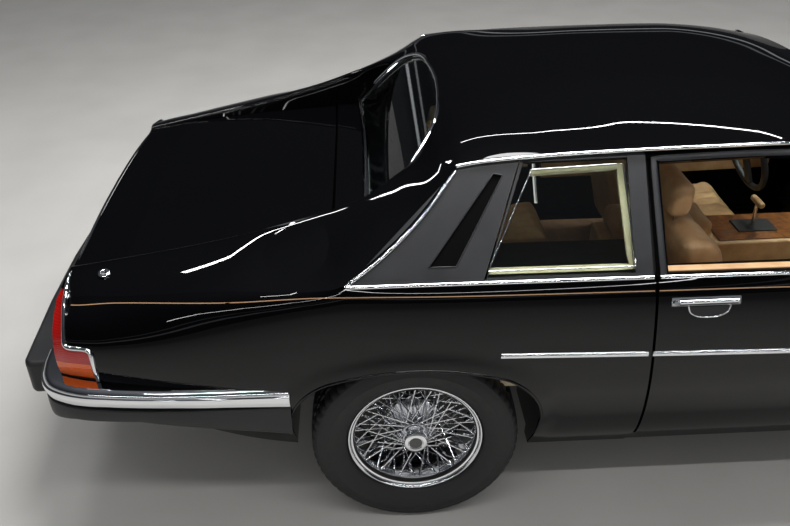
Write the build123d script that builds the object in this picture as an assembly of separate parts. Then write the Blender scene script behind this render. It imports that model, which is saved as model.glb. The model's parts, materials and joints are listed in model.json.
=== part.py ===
from build123d import *
import math
import os

# A two-door coupe with sail-panel buttresses beside its rear window, on wire wheels.
# Millimetres. +X is forward, +Y is the car's left, +Z is up.
# The origin is on the ground, midway between the bumpers.

# Driving dimensions
WHEELBASE = 2591.0
REAR_OVERHANG = 1240.0
FRONT_OVERHANG = 1029.0
FRONT_TRACK = 1488.0
REAR_TRACK = 1504.0
TYRE_RADIUS = 320.0
TYRE_WIDTH = 232.0
RIM_RADIUS = 208.0
RIM_WIDTH = 178.0
SPOKE_COUNT = 48
ROOF_HEIGHT = 1261.0

REAR_AXLE_X = REAR_OVERHANG - (WHEELBASE + REAR_OVERHANG + FRONT_OVERHANG) / 2
FRONT_AXLE_X = REAR_AXLE_X + WHEELBASE

SHUT_GAP = 8.0
SKIN = 25.0
DECK_SKIN = 24.0
CABIN_WALL = 95.0
DOOR_THICKNESS = 95.0
FLOOR_THICKNESS = 36.0
GLASS = 5.0

# Side glass lies in one plane that leans in: y = BELT_Y at BELT_Z, less as it rises.
BELT_Y = 850.0
BELT_Z = 888.0
SIDE_LEAN = 0.794
SIDE_NORMAL = Vector(0, 1, SIDE_LEAN).normalized()

# Long places, measured from the rear axle
TAIL = -1045.0
TAIL_FACE = -1040.0
TAIL_LIP = -1010.0
BOOT_FRONT = -235.0
BACKLIGHT_FOOT = -110.0
BACKLIGHT_HEAD = 145.0
DOOR_REAR = 662.0
DOOR_FRONT = 1885.0
SCREEN_FOOT = 1905.0
BONNET_REAR = 2010.0
BONNET_FRONT = 3300.0
NOSE_BACK = 3330.0
NOSE_FACE = 3420.0

# Lower body sections. Columns: x from the rear axle, half width at the waist, bottom height,
# half width and height of the shoulder, half width of the flat top, height of its edge, height of its middle.
SECTIONS = [
    (TAIL, 778, 415, 688, 758, 560, 796, 828),
    (TAIL_LIP, 790, 400, 702, 770, 590, 803, 832),
    (-850, 826, 345, 750, 794, 640, 830, 852),
    (-516, 872, 250, 826, 838, 700, 866, 874),
    (-215, 890, 215, 860, 862, 740, 882, 890),
    (BACKLIGHT_FOOT, 893, 205, 863, 864, 800, 886, 896),
    (300, 896, 200, 866, 862, 845, 888, 896),
    (DOOR_REAR, 896, 200, 866, 856, 845, 888, 896),
    (1300, 893, 200, 863, 846, 842, 884, 892),
    (SCREEN_FOOT, 888, 200, 858, 832, 800, 868, 893),
    (2300, 884, 205, 854, 816, 780, 846, 872),
    (2700, 878, 210, 848, 792, 765, 822, 846),
    (3060, 862, 225, 832, 756, 740, 786, 806),
    (NOSE_BACK, 828, 260, 798, 706, 700, 734, 752),
    (NOSE_FACE, 790, 300, 760, 668, 670, 694, 712),
]
SILL_IN = 150.0
TUCK_IN = 84.0
TUCK_RISE = 90.0
WAIST_Z = 610.0

# Buttress ridges on the rear body. Columns: x, ridge half span, ridge height,
# half span of the inner foot, its height, half span and height midway up the outside.
RIDGES = [
    (TAIL, 572, 808, 560, 804, 632, 792),
    (TAIL_LIP, 576, 815, 563, 812, 646, 801),
    (-850, 588, 846, 570, 838, 680, 827),
    (-516, 600, 914, 583, 868, 728, 884),
    (-215, 606, 998, 592, 882, 747, 934),
    (BACKLIGHT_FOOT, 590, 1038, 584, 890, 740, 968),
]
RIDGE_WIDTH = 12.0

# Sail panels from deck to roof. Columns: x, then half span and height of the edge at the side glass,
# of the middle, of the crest, of the inner edge's top and of its bottom, and half span at the belt inside.
SAILS = [
    (-190, 845, 894, 740, 944, 605, 1006, 593, 1004, 588, 880, 584),
    (BACKLIGHT_FOOT, 812, 936, 724, 988, 590, 1038, 578, 1036, 584, 885, 580),
    (-40, 776, 982, 682, 1036, 558, 1074, 542, 1072, 552, 955, 640),
    (30, 728, 1042, 642, 1086, 540, 1108, 478, 1104, 480, 1030, 690),
    (92, 680, 1103, 610, 1134, 520, 1146, 362, 1157, 366, 1095, 740),
    (BACKLIGHT_HEAD, 642, 1148, 600, 1162, 500, 1172, 300, 1180, 300, 1148, 780),
]
SAIL_FOOT_Z = 876.0

# Roof sections. Columns: x, half width at the gutter, gutter height, middle height.
ROOF = [
    (126, 626, 1148, ROOF_HEIGHT - 86),
    (400, 632, 1164, ROOF_HEIGHT - 34),
    (700, 628, 1173, ROOF_HEIGHT - 4),
    (1000, 622, 1177, ROOF_HEIGHT),
    (1250, 606, 1164, ROOF_HEIGHT - 22),
    (1432, 588, 1146, ROOF_HEIGHT - 66),
]
ROOF_SKIN = 28.0

# The roof is cut from a door where it lies, and again lowered and moved out, so that the door swings clear.
ROOF_CLEARANCES = [(0, 0, 0), (0, 0, -8), (0, 7, -4)]

# Wheel arches: half length of the opening, and heights of its crown and its corners.
ARCH_HALF = {"rear": 372.0, "front": 386.0}
ARCH_TOP = {"rear": 638.0, "front": 654.0}
WHEELHOUSE_RISE = 44.0
WHEELHOUSE_SKIN = 6.0


def at(x):
    return REAR_AXLE_X + x


def mirrored(shape):
    return mirror(shape, about=Plane.XZ)


def closed_face(edges):
    return Face(Wire(edges))


def box_between(x0, x1, y0, y1, z0, z1):
    size = (x1 - x0, y1 - y0, z1 - z0)
    place = Location(((x0 + x1) / 2, (y0 + y1) / 2, (z0 + z1) / 2))
    return place * Box(*size)


def prism(corners, along):
    """A prism over a flat outline, with its face turned to look along the way it grows."""
    face = make_face(Polyline(corners, close=True)).face()
    forward = face.normal_at().dot(along) > 0
    return extrude(face, amount=along.length if forward else -along.length)


def side_prism(points, y0, y1):
    """A prism along Y over an outline given as x from the rear axle and z."""
    return prism([(at(x), y0, z) for x, z in points], Vector(0, y1 - y0, 0))


def plan_prism(points, z0, z1):
    """A prism along Z over an outline given as x from the rear axle and y."""
    return prism([(at(x), y, z0) for x, y in points], Vector(0, 0, z1 - z0))


def lower_half(row, inset=0.0, drop=0.0, bottom=None):
    """The named points of one side of a lower body section, moved in by inset and down by drop."""
    x, wide, low, shoulder_y, shoulder_z, top_y, top_z, mid_z = row
    floor = low if bottom is None else bottom
    return {
        "sill": (wide - SILL_IN - inset, floor),
        "tuck": (wide - TUCK_IN - inset, low + TUCK_RISE),
        "waist": (wide - inset, WAIST_Z),
        "shoulder": (shoulder_y - inset, shoulder_z - drop),
        "edge": (top_y - inset, top_z - drop),
        "middle": (0.0, mid_z - drop),
    }


def lower_section(row, inset=0.0, drop=0.0, bottom=None):
    """A closed section across the car: floor, tuck under, bulging side, shoulder and crowned top."""
    x = at(row[0])
    p = lower_half(row, inset, drop, bottom)

    def v(name, side=1):
        return (x, side * p[name][0], p[name][1])

    shoulder_mid = (
        (p["shoulder"][0] * 0.55 + p["edge"][0] * 0.45),
        (p["shoulder"][1] * 0.38 + p["edge"][1] * 0.62),
    )
    edges = [Edge.make_line(v("sill", -1), v("sill"))]
    edges.append(Edge.make_line(v("sill"), v("tuck")))
    edges.append(Edge.make_three_point_arc(v("tuck"), v("waist"), v("shoulder")))
    edges.append(Edge.make_three_point_arc(v("shoulder"), (x, *shoulder_mid), v("edge")))
    edges.append(Edge.make_three_point_arc(v("edge"), v("middle"), v("edge", -1)))
    mid_left = (x, -shoulder_mid[0], shoulder_mid[1])
    edges.append(Edge.make_three_point_arc(v("edge", -1), mid_left, v("shoulder", -1)))
    edges.append(Edge.make_three_point_arc(v("shoulder", -1), v("waist", -1), v("tuck", -1)))
    edges.append(Edge.make_line(v("tuck", -1), v("sill", -1)))
    return closed_face(edges)


def rear_section(row, ridge):
    """A rear body section with a buttress ridge standing on each side of the deck."""
    x = at(row[0])
    p = lower_half(row)
    _, ridge_y, ridge_z, foot_y, foot_z, mid_y, mid_z = ridge

    def both(side):
        s = side
        top_in = (x, s * (ridge_y - RIDGE_WIDTH), ridge_z - 2)
        return [
            Edge.make_line((x, s * p["sill"][0], p["sill"][1]), (x, s * p["tuck"][0], p["tuck"][1])),
            Edge.make_three_point_arc(
                (x, s * p["tuck"][0], p["tuck"][1]),
                (x, s * p["waist"][0], p["waist"][1]),
                (x, s * p["shoulder"][0], p["shoulder"][1]),
            ),
            Edge.make_three_point_arc(
                (x, s * p["shoulder"][0], p["shoulder"][1]),
                (x, s * mid_y, mid_z),
                (x, s * ridge_y, ridge_z),
            ),
            Edge.make_line((x, s * ridge_y, ridge_z), top_in),
            Edge.make_line(top_in, (x, s * foot_y, foot_z)),
        ]

    top = Edge.make_three_point_arc(
        (x, foot_y, foot_z), (x, 0, p["middle"][1]), (x, -foot_y, foot_z)
    )
    floor = Edge.make_line((x, -p["sill"][0], p["sill"][1]), (x, p["sill"][0], p["sill"][1]))
    return closed_face([floor, *both(1), top, *reversed(both(-1))])


def rows_between(x0, x1):
    return [row for row in SECTIONS if x0 <= row[0] <= x1]


def lower_form(x0, x1, inset=0.0, drop=0.0, bottom=None):
    faces = [lower_section(row, inset, drop, bottom) for row in rows_between(x0, x1)]
    return loft(faces, ruled=True)


def hollow(x0, x1, wall, drop):
    """The space inside the walls and under the top skin, open below."""
    return lower_form(x0, x1, inset=wall, drop=drop, bottom=0.0)


def arch_outline(axle, end, grow=0.0, rise=0.0):
    """The arch opening seen from the side: a flat crown between two tighter corners."""
    half, top = ARCH_HALF[end] + grow, ARCH_TOP[end] + rise
    corner_z, low_z = top - 46, top - 236
    left = Edge.make_line((axle - half, 0, 0), (axle - half, 0, low_z))
    a1 = Edge.make_three_point_arc(
        (axle - half, 0, low_z), (axle - half * 0.925, 0, low_z + 112), (axle - half * 0.7, 0, corner_z)
    )
    crown = Edge.make_three_point_arc(
        (axle - half * 0.7, 0, corner_z), (axle, 0, top), (axle + half * 0.7, 0, corner_z)
    )
    a2 = Edge.make_three_point_arc(
        (axle + half * 0.7, 0, corner_z), (axle + half * 0.925, 0, low_z + 112), (axle + half, 0, low_z)
    )
    right = Edge.make_line((axle + half, 0, low_z), (axle + half, 0, 0))
    base = Edge.make_line((axle + half, 0, 0), (axle - half, 0, 0))
    return closed_face([left, a1, crown, a2, right, base])


def arch_prism(axle, end, y0, y1, grow=0.0, rise=0.0):
    face = arch_outline(axle, end, grow, rise)
    return Location((0, y0, 0)) * extrude(face, amount=y1 - y0, dir=(0, 1, 0))


# Hidden hinges: an eye on a fixed pin and a neck that goes round the edge of the fixed panel.
# Neck points are u along the car from the pin and w outward from it.
PIN_RADIUS = 5.0
FIT = 0.05
EYE_RADIUS = 10.0
HINGE_AHEAD = 48.0
NECK_WIDTH = 14.0
NECK_FOOT = [(-6, 3), (6, 3), (-1, -72), (-80, -72)]
NECK_BACK = [(-68, -60), (-12, -60)]
BOOT_PIN = (BOOT_FRONT + HINGE_AHEAD, 842.0)
BONNET_PIN = (BONNET_FRONT + HINGE_AHEAD, 710.0)
DOOR_PIN = (DOOR_FRONT + HINGE_AHEAD, 844.0)
LID_HINGES_Y = 380.0

# The shut faces beside a hinge are round about its pin, so their gap stays the same as it opens.
SEAM_RADIUS = 60.0
SEAM_GAP = 6.0
DOOR_HINGES_Z = (560.0, 700.0)


def neck_face(top):
    outline = [*NECK_FOOT, (-80, top), (-68, top), *NECK_BACK]
    return make_face(Polyline(outline, close=True)) + Circle(EYE_RADIUS) - Circle(PIN_RADIUS + FIT)


def lid_neck(pin, y):
    """One hinge neck of a lid, across the car at y."""
    origin = (at(pin[0]), y + NECK_WIDTH / 2, pin[1])
    plane = Plane(origin=origin, x_dir=(1, 0, 0), z_dir=(0, -1, 0))
    return extrude(plane * neck_face(34), amount=NECK_WIDTH)


def lid_bracket(pin, y, top):
    """The fixed pin with its two cheeks, hung from the panel above."""
    bracket = Location((at(pin[0]), y, pin[1]), (90, 0, 0)) * Cylinder(PIN_RADIUS, NECK_WIDTH + 24)
    for side in (-1, 1):
        y0, y1 = sorted((y + side * (NECK_WIDTH / 2 + 6), y + side * (NECK_WIDTH / 2 + 12)))
        bracket += box_between(at(pin[0] - 12), at(pin[0] + 12), y0, y1, pin[1] - 12, top)
    return bracket


def door_neck(z):
    """The same neck turned on its side, ending in the door's front edge."""
    plane = Plane(origin=(at(DOOR_PIN[0]), DOOR_PIN[1], z - NECK_WIDTH / 2))
    return extrude(plane * neck_face(-40), amount=NECK_WIDTH)


def lid_seam(pin, radius, half):
    return Location((at(pin[0]), 0, pin[1]), (90, 0, 0)) * Cylinder(radius, 2 * half)


def door_seam(radius):
    return Location((at(DOOR_PIN[0]), DOOR_PIN[1], 570)) * Cylinder(radius, 600)


def door_bracket(z):
    place = Location((at(DOOR_PIN[0]), DOOR_PIN[1], z))
    bracket = place * Cylinder(PIN_RADIUS, NECK_WIDTH + 24)
    for side in (-1, 1):
        z0, z1 = sorted((z + side * (NECK_WIDTH / 2 + 6), z + side * (NECK_WIDTH / 2 + 12)))
        y0, y1 = DOOR_PIN[1] - 12, DOOR_PIN[1] + 24
        bracket += box_between(at(DOOR_PIN[0] - 12), at(DOOR_PIN[0] + 12), y0, y1, z0, z1)
    return bracket


ARCH_DEPTH = {"rear": 540.0, "front": 440.0}
AXLE_WAY_Z = 450.0


def wheelhouse(axle, end):
    """The liner over a left wheel: a skin round the wheel's space, closed inboard."""
    inner_y, outer_y = ARCH_DEPTH[end], 868.0
    rise = WHEELHOUSE_RISE
    shell = arch_prism(
        axle, end, inner_y - WHEELHOUSE_SKIN, outer_y, WHEELHOUSE_SKIN, rise + WHEELHOUSE_SKIN
    )
    space = arch_prism(axle, end, inner_y, outer_y + 1, 0, rise)
    low = box_between(axle - 600, axle + 600, 0, 1000, -10, 240)
    return shell - space - low


def wheel_space(axle, end):
    """What is cut from a left body panel for the wheel: the arch, the space behind it and the axle's way in."""
    depth = ARCH_DEPTH[end]
    opening = arch_prism(axle, end, depth, 1000)
    inside = arch_prism(axle, end, depth, 868, 0, WHEELHOUSE_RISE)
    way_in = arch_prism(axle, end, 300, 1000) & box_between(axle - 600, axle + 600, 0, 1100, -10, AXLE_WAY_Z)
    return opening + inside + way_in


def half_box(x0, x1, z0=-50.0, z1=1400.0, y0=0.0, y1=1000.0):
    return box_between(at(x0), at(x1), y0, y1, z0, z1)


def rear_outer():
    faces = []
    for ridge in RIDGES:
        row = next(r for r in SECTIONS if r[0] == ridge[0])
        faces.append(rear_section(row, ridge))
    return loft(faces, ruled=True)


# Outline of the boot lid in plan: x and half width at its front and rear edges.
BOOT_HALF_FRONT = 582.0
BOOT_HALF_REAR = 553.0
BOOT_LIP_Z = 622.0
DECK_HALF = 582.0
LAMP_INNER = 596.0
LAMP_LOW_Z = 575.0
LAMP_SPLIT_Z = 680.0
LAMP_TOP_Z = 800.0
LAMP_STRIP = 34.0
LAMP_FOOT_FRONT = -924.0
PLATE = 24.0
SLIVER = 2000.0

# Two holes for the rear number plate
PLATE_HOLE_SPAN = 178.0
PLATE_HOLE_Z = 745.0
PLATE_HOLE_RADIUS = 3.5


def tail_limit(inset):
    """Everything ahead of the tail face, which leans forward at its top."""
    face, lip = TAIL_FACE + inset, TAIL_LIP + inset
    outline = [(face, -100), (face, 772), (lip, 822), (lip, 1400), (400, 1400), (400, -100)]
    return side_prism(outline, -1000, 1000)


def boot_plan(grow):
    front, rear = BOOT_HALF_FRONT + grow, BOOT_HALF_REAR + grow
    x0, x1 = TAIL - 40, BOOT_FRONT + grow
    return [(x0, -rear), (x1, -front), (x1, front), (x0, rear)]


def boot_lid(outer):
    inner = hollow(TAIL, BACKLIGHT_FOOT, SKIN, DECK_SKIN)
    inside = inner & half_box(TAIL, BOOT_FRONT + 50, y0=-900) & tail_limit(PLATE + 2)
    lid = outer & plan_prism(boot_plan(0), BOOT_LIP_Z, 1300)
    for side in (1, -1):
        place = Location((at(TAIL_FACE), side * PLATE_HOLE_SPAN / 2, PLATE_HOLE_Z), (0, 90, 0))
        lid -= place * Cylinder(PLATE_HOLE_RADIUS, 3 * PLATE)
    lid -= inside
    lid -= lid_seam(BOOT_PIN, SEAM_RADIUS + SEAM_GAP, 700)
    for y in (-LID_HINGES_Y, LID_HINGES_Y):
        lid += lid_neck(BOOT_PIN, y)
    return lid


def quarter_panel(outer):
    """Left rear wing with its buttress, wheelhouse and the wall beside the rear seat."""
    inner = hollow(TAIL, BACKLIGHT_FOOT, SKIN, DECK_SKIN)
    rear = outer - inner
    rear &= half_box(TAIL, BACKLIGHT_FOOT, y0=BOOT_HALF_REAR)
    rear &= tail_limit(PLATE)
    rear -= plan_prism(boot_plan(SHUT_GAP), 100, 1300)
    rear -= box_between(at(BOOT_FRONT - 1), at(BACKLIGHT_FOOT + 1), 0, DECK_HALF, 600, 900)
    form = lower_form(BACKLIGHT_FOOT, DOOR_REAR)
    mid = form - hollow(BACKLIGHT_FOOT, DOOR_REAR, CABIN_WALL, DECK_SKIN)
    mid &= half_box(BACKLIGHT_FOOT, DOOR_REAR, y0=640)
    mid -= door_prism(SHUT_GAP, 500, 1000)
    mid -= door_prism(SHUT_GAP + 6, 500, 884)
    liner = wheelhouse(REAR_AXLE_X, "rear") & (lower_form(-850, DOOR_REAR))
    panel = rear + mid + pillar_root() + liner
    panel -= wheel_space(REAR_AXLE_X, "rear")
    panel -= tail_lamp_pocket()
    panel -= finisher_pocket()
    panel -= roof()
    return panel


def pillar_root():
    """The left sail panel from the deck up to the roof corner, with the rear window's edge inside it."""
    rings = []
    for x, edge_y, edge_z, mid_y, mid_z, crest_y, crest_z, top_y, top_z, low_y, low_z, foot_y in SAILS:
        outside = [(848, SAIL_FOOT_Z), (850, BELT_Z + 1), (edge_y, edge_z), (mid_y, mid_z), (crest_y, crest_z)]
        inside = [(top_y, top_z), (low_y, low_z), (foot_y, SAIL_FOOT_Z)]
        corners = [(at(x), y, z) for y, z in outside + inside]
        rings.append(make_face(Polyline(corners, close=True)))
    return loft(rings, ruled=True)


def tail_lamp_pocket():
    """Where the left tail lamp sits: a tall strip at the corner over a lower part round the side."""
    tall = half_box(TAIL - 30, 0, LAMP_SPLIT_Z - 1, LAMP_TOP_Z, LAMP_INNER, 900) - tail_limit(LAMP_STRIP)
    low = half_box(TAIL - 30, LAMP_FOOT_FRONT, LAMP_LOW_Z, LAMP_SPLIT_Z, LAMP_INNER + 10, 900)
    return tall + low


def tail_lamp(outer):
    return outer & tail_lamp_pocket()


def rear_panel(outer):
    """The closing panel across the tail, under and beside the boot lid."""
    plate = outer - tail_limit(PLATE)
    plate -= plan_prism(boot_plan(SHUT_GAP), BOOT_LIP_Z - SHUT_GAP, 1300)
    plate -= tail_lamp_pocket() + mirrored(tail_lamp_pocket())
    return plate


def side_plate(points, thickness, inset=0.0):
    """A plate inside the left side glass plane, from an outline given as x from the rear axle and z."""
    corners = []
    for x, z in points:
        y = BELT_Y - SIDE_LEAN * (z - BELT_Z)
        corners.append(Vector(at(x), y, z) - SIDE_NORMAL * inset)
    return prism(corners, SIDE_NORMAL * -thickness)


# Outlines in the side glass plane: x from the rear axle and z
FINISHER = [(-186, 892), (184, 892), (300, 1152), (132, 1144)]
FINISHER_THICKNESS = 18.0
FINISHER_FIT = 1.0
VENT = [(36, 926), (112, 926), (252, 1122), (226, 1126)]
QUARTER_FRAME = [(190, 890), (652, 890), (655, 1164), (306, 1158)]
QUARTER_LIGHT = [(196, 900), (604, 900), (604, 1154), (312, 1150)]
QUARTER_PANE = [(197, 901), (603, 901), (603, 1153), (313, 1149)]
DOOR_TOP = [(667, 1160), (1000, 1167), (1235, 1152), (1400, 1085), (1868, 893)]
DOOR_WINDOW = [(694, 895), (692, 1140), (998, 1147), (1226, 1133), (1385, 1066), (1790, 895)]
WINDOW_CUT = 60.0


def grown(outline, amount):
    """An outline with each corner moved out from its middle."""
    cx = sum(x for x, _ in outline) / len(outline)
    cz = sum(z for _, z in outline) / len(outline)
    corners = []
    for x, z in outline:
        reach = math.hypot(x - cx, z - cz)
        corners.append((x + amount * (x - cx) / reach, z + amount * (z - cz) / reach))
    return corners


def finisher_pocket():
    """The seat in the left sail panel for the black panel behind the side glass."""
    return side_plate(grown(FINISHER, FINISHER_FIT), 2 * FINISHER_THICKNESS + 4, inset=-FINISHER_THICKNESS)


def finisher():
    """The black panel behind the left side glass, with its slanting vent recess."""
    plate = side_plate(FINISHER, FINISHER_THICKNESS, inset=2)
    return plate - side_plate(VENT, 10, inset=-2)


def quarter_frame():
    """The fixed frame round the left quarter glass, with the door pillar."""
    ring = side_plate(QUARTER_FRAME, 26, inset=4)
    return ring - side_plate(QUARTER_LIGHT, WINDOW_CUT, inset=-10)


def quarter_glass():
    return side_plate(QUARTER_PANE, GLASS, inset=12)


def door_outline(grow=0.0):
    g = grow
    return [
        (664 - g, 860),
        (670 - g, 700),
        (700 - g, 290 - g),
        (1800, 286 - g),
        (1868 + g, 420),
        (DOOR_FRONT + g, 700),
        (DOOR_FRONT + g, 860),
    ]


def door_prism(grow, y0, y1):
    g = grow
    outline = door_outline(g) + [(DOOR_FRONT + g, 1000), (664 - g, 1000)]
    return side_prism(outline, y0, y1)


def door():
    """Left door: a hollow-backed lower panel as thick as the whole door, and a window frame above it."""
    skin = lower_form(DOOR_REAR, SCREEN_FOOT)
    inner = hollow(DOOR_REAR, SCREEN_FOOT, DOOR_THICKNESS, -40)
    outline = door_outline() + [(DOOR_FRONT, 884), (668, 884)]
    panel = (skin - inner) & side_prism(outline, 500, 1000)
    frame = side_plate([(668, 870), *DOOR_TOP, (1868, 870)], 22, inset=4)
    frame -= side_plate(DOOR_WINDOW, WINDOW_CUT, inset=-10)
    frame &= box_between(at(600), at(2000), 500, 1000, 883.9, 1300)
    return panel + frame


def roof_section(row, inset=0.0):
    x, half, gutter, top = row
    arc = Edge.make_three_point_arc
    x = at(x)
    outer = arc((x, half, gutter), (x, 0, top), (x, -half, gutter))
    inner = arc((x, -half + 6, gutter - ROOF_SKIN), (x, 0, top - ROOF_SKIN), (x, half - 6, gutter - ROOF_SKIN))
    right = Edge.make_line((x, -half, gutter), (x, -half + 6, gutter - ROOF_SKIN))
    left = Edge.make_line((x, half - 6, gutter - ROOF_SKIN), (x, half, gutter))
    return closed_face([outer, right, inner, left])


def roof():
    return loft([roof_section(row) for row in ROOF], ruled=True)


def crescent(z, x_mid, x_end, half, thickness):
    """A thin bowed strip in plan, for the foot or head of a curved screen."""
    arc = Edge.make_three_point_arc
    x_mid, x_end = at(x_mid), at(x_end)
    outer = arc((x_end, -half, z), (x_mid, 0, z), (x_end, half, z))
    inner = arc((x_end - thickness, half, z), (x_mid - thickness, 0, z), (x_end - thickness, -half, z))
    left = Edge.make_line((x_end, half, z), (x_end - thickness, half, z))
    right = Edge.make_line((x_end - thickness, -half, z), (x_end, -half, z))
    return closed_face([outer, left, inner, right])


def windscreen():
    foot = crescent(846, 2100, 1996, 778, 14)
    head = crescent(1166, 1470, 1416, 566, 14)
    pane = loft([foot, head], ruled=True)
    return pane - lower_form(1300, 2700) - roof()


def screen_pillar():
    """Left windscreen pillar, from the scuttle to the roof's front corner."""
    def ring(z, x, y):
        corners = [(at(x) - 34, y - 26), (at(x) + 22, y - 26), (at(x) + 14, y + 22), (at(x) - 34, y + 22)]
        return make_face(Polyline([(a, b, z) for a, b in corners], close=True))

    post = loft([ring(872, 1893, 780), ring(1140, 1434, 598)], ruled=True)
    return post - (windscreen() + roof())


BONNET_HALF_REAR = 705.0
BONNET_HALF_FRONT = 640.0
SILL_TOP = 278.0


def bonnet_plan(grow):
    rear, front = BONNET_HALF_REAR + grow, BONNET_HALF_FRONT + grow
    x0, x1 = BONNET_REAR - grow, BONNET_FRONT + grow
    return [(x0, -rear), (x1, -front), (x1, front), (x0, rear)]


def bonnet():
    shell = lower_form(SCREEN_FOOT, NOSE_BACK) - hollow(SCREEN_FOOT, NOSE_BACK, SKIN, DECK_SKIN)
    lid = shell & plan_prism(bonnet_plan(0), 600, 1000)
    lid -= lid_seam(BONNET_PIN, SEAM_RADIUS + SEAM_GAP, 700)
    for y in (-LID_HINGES_Y, LID_HINGES_Y):
        lid += lid_neck(BONNET_PIN, y)
    return lid


def front_wing():
    """Left front wing with its wheelhouse, from the door to the nose panel."""
    shell = lower_form(1300, NOSE_BACK) - hollow(1300, NOSE_BACK, SKIN, DECK_SKIN)
    shell &= half_box(1780, BONNET_FRONT + SHUT_GAP, y0=560)
    edge = shell & door_seam(SEAM_RADIUS)
    shell -= door_prism(SHUT_GAP, 500, 1000)
    shell += edge & half_box(1780, BONNET_REAR)
    shell -= half_box(1700, DOOR_FRONT + SHUT_GAP, z1=SILL_TOP)
    middle = [
        (1700, 0),
        (1700, BONNET_HALF_REAR + SHUT_GAP),
        (BONNET_REAR, BONNET_HALF_REAR + SHUT_GAP),
        (BONNET_FRONT + SHUT_GAP, BONNET_HALF_FRONT + SHUT_GAP),
        (BONNET_FRONT + SHUT_GAP, 0),
    ]
    shell -= plan_prism(middle, 560, 1000)
    liner = wheelhouse(FRONT_AXLE_X, "front") & lower_form(1300, NOSE_BACK)
    wing = shell + liner - wheel_space(FRONT_AXLE_X, "front")
    for z in DOOR_HINGES_Z:
        wing += door_bracket(z)
    return wing


def scuttle():
    """The panel between bonnet and windscreen."""
    shell = lower_form(1300, NOSE_BACK) - hollow(1300, NOSE_BACK, SKIN, DECK_SKIN)
    half = BONNET_HALF_REAR + SHUT_GAP
    return shell & box_between(at(1893), at(BONNET_REAR - SHUT_GAP), -half, half, 700, 1000)


HEADLAMPS = [(486, 616), (640, 614)]
HEADLAMP_RADIUS = 68.0
GRILLE = (-385.0, 385.0, 550.0, 664.0)


def nose_panel():
    """The front panel with openings for two round lamps a side and the grille."""
    start = BONNET_FRONT + SHUT_GAP
    form = lower_form(3060, NOSE_FACE)
    hood = form - hollow(3060, NOSE_FACE, SKIN, DECK_SKIN)
    shell = hood & half_box(start, NOSE_FACE, y0=-1000)
    shell += hood & lid_seam(BONNET_PIN, SEAM_RADIUS, BONNET_HALF_FRONT + SHUT_GAP)
    face = form & half_box(NOSE_FACE - PLATE, NOSE_FACE, y0=-1000)
    nose = shell + face
    for y, z in HEADLAMPS:
        for side in (1, -1):
            place = Location((at(NOSE_FACE - 60), side * y, z), (0, 90, 0))
            nose -= place * Cylinder(HEADLAMP_RADIUS, 300)
    y0, y1, z0, z1 = GRILLE
    nose -= box_between(at(NOSE_FACE - 60), at(NOSE_FACE + 60), y0, y1, z0, z1)
    x, z = BONNET_PIN
    for y in (-LID_HINGES_Y, LID_HINGES_Y):
        nose -= box_between(at(x - 60), at(x + 22), y - 13, y + 13, z - 60, z + 17)
        nose += lid_bracket(BONNET_PIN, y, z + 26)
    return nose


def headlamps():
    lamps = []
    for y, z in HEADLAMPS:
        for side in (1, -1):
            place = Location((at(NOSE_FACE - 22), side * y, z), (0, 90, 0))
            lamps.append(place * Cylinder(HEADLAMP_RADIUS, 60))
    return Compound(children=lamps)


GRILLE_BARS = 6


def grille():
    """A bright frame with horizontal bars across a dark slot."""
    y0, y1, z0, z1 = GRILLE
    frame = box_between(at(NOSE_FACE - 24), at(NOSE_FACE + 6), y0, y1, z0, z1)
    frame -= box_between(at(NOSE_FACE - 60), at(NOSE_FACE + 60), y0 + 10, y1 - 10, z0 + 10, z1 - 10)
    pitch = (z1 - z0 - 20) / GRILLE_BARS
    for i in range(1, GRILLE_BARS):
        z = z0 + 10 + i * pitch
        frame += box_between(at(NOSE_FACE - 20), at(NOSE_FACE), y0 + 5, y1 - 5, z - 2, z + 2)
    return frame + box_between(at(NOSE_FACE - 22), at(NOSE_FACE + 2), -4, 4, z0 + 5, z1 - 5)


def sill():
    shell = lower_form(DOOR_REAR, SCREEN_FOOT) - hollow(DOOR_REAR, SCREEN_FOOT, 110, 60)
    return shell & half_box(DOOR_REAR, DOOR_FRONT + SHUT_GAP, z1=SILL_TOP)


FLOOR_Z = 200.0
FLOOR_TOP = FLOOR_Z + FLOOR_THICKNESS
BOOT_FLOOR_Z = 470.0
BULKHEAD_X = 2020.0


def floor_pan():
    """Floor with its tunnel, toe board, front bulkhead, seat pan and boot floor."""
    t = FLOOR_THICKNESS
    pan = side_prism(
        [
            (BULKHEAD_X, 900),
            (BULKHEAD_X, 420),
            (1880, FLOOR_Z),
            (400, FLOOR_Z),
            (370, 380),
            (170, 380),
            (62, 900),
            (62 + t, 900),
            (170 + t, 380 + t),
            (370 + t, 380 + t),
            (400 + t, FLOOR_TOP),
            (1860, FLOOR_TOP),
            (BULKHEAD_X - t, 430),
            (BULKHEAD_X - t, 900),
        ],
        -800,
        800,
    )
    pan += box_between(at(TAIL_FACE + PLATE), at(165), -800, 800, BOOT_FLOOR_Z, BOOT_FLOOR_Z + 24)
    pan += box_between(at(380), at(BULKHEAD_X), -155, 155, FLOOR_Z, 430)
    pan -= box_between(at(300), at(BULKHEAD_X + 50), -128, 128, 0, 404)
    for axle, end in ((REAR_AXLE_X, "rear"), (FRONT_AXLE_X, "front")):
        depth = ARCH_DEPTH[end] - WHEELHOUSE_SKIN
        room = arch_prism(axle, end, depth, 1000, WHEELHOUSE_SKIN, WHEELHOUSE_RISE + WHEELHOUSE_SKIN)
        pan -= room + mirrored(room)
    pan &= lower_form(TAIL, 2700, inset=SKIN, drop=DECK_SKIN, bottom=150)
    return pan


def main_floor(neighbours):
    pan = floor_pan()
    for shape in neighbours:
        pan -= shape
    return pan


BACKLIGHT_EDGE = 24.0


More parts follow.
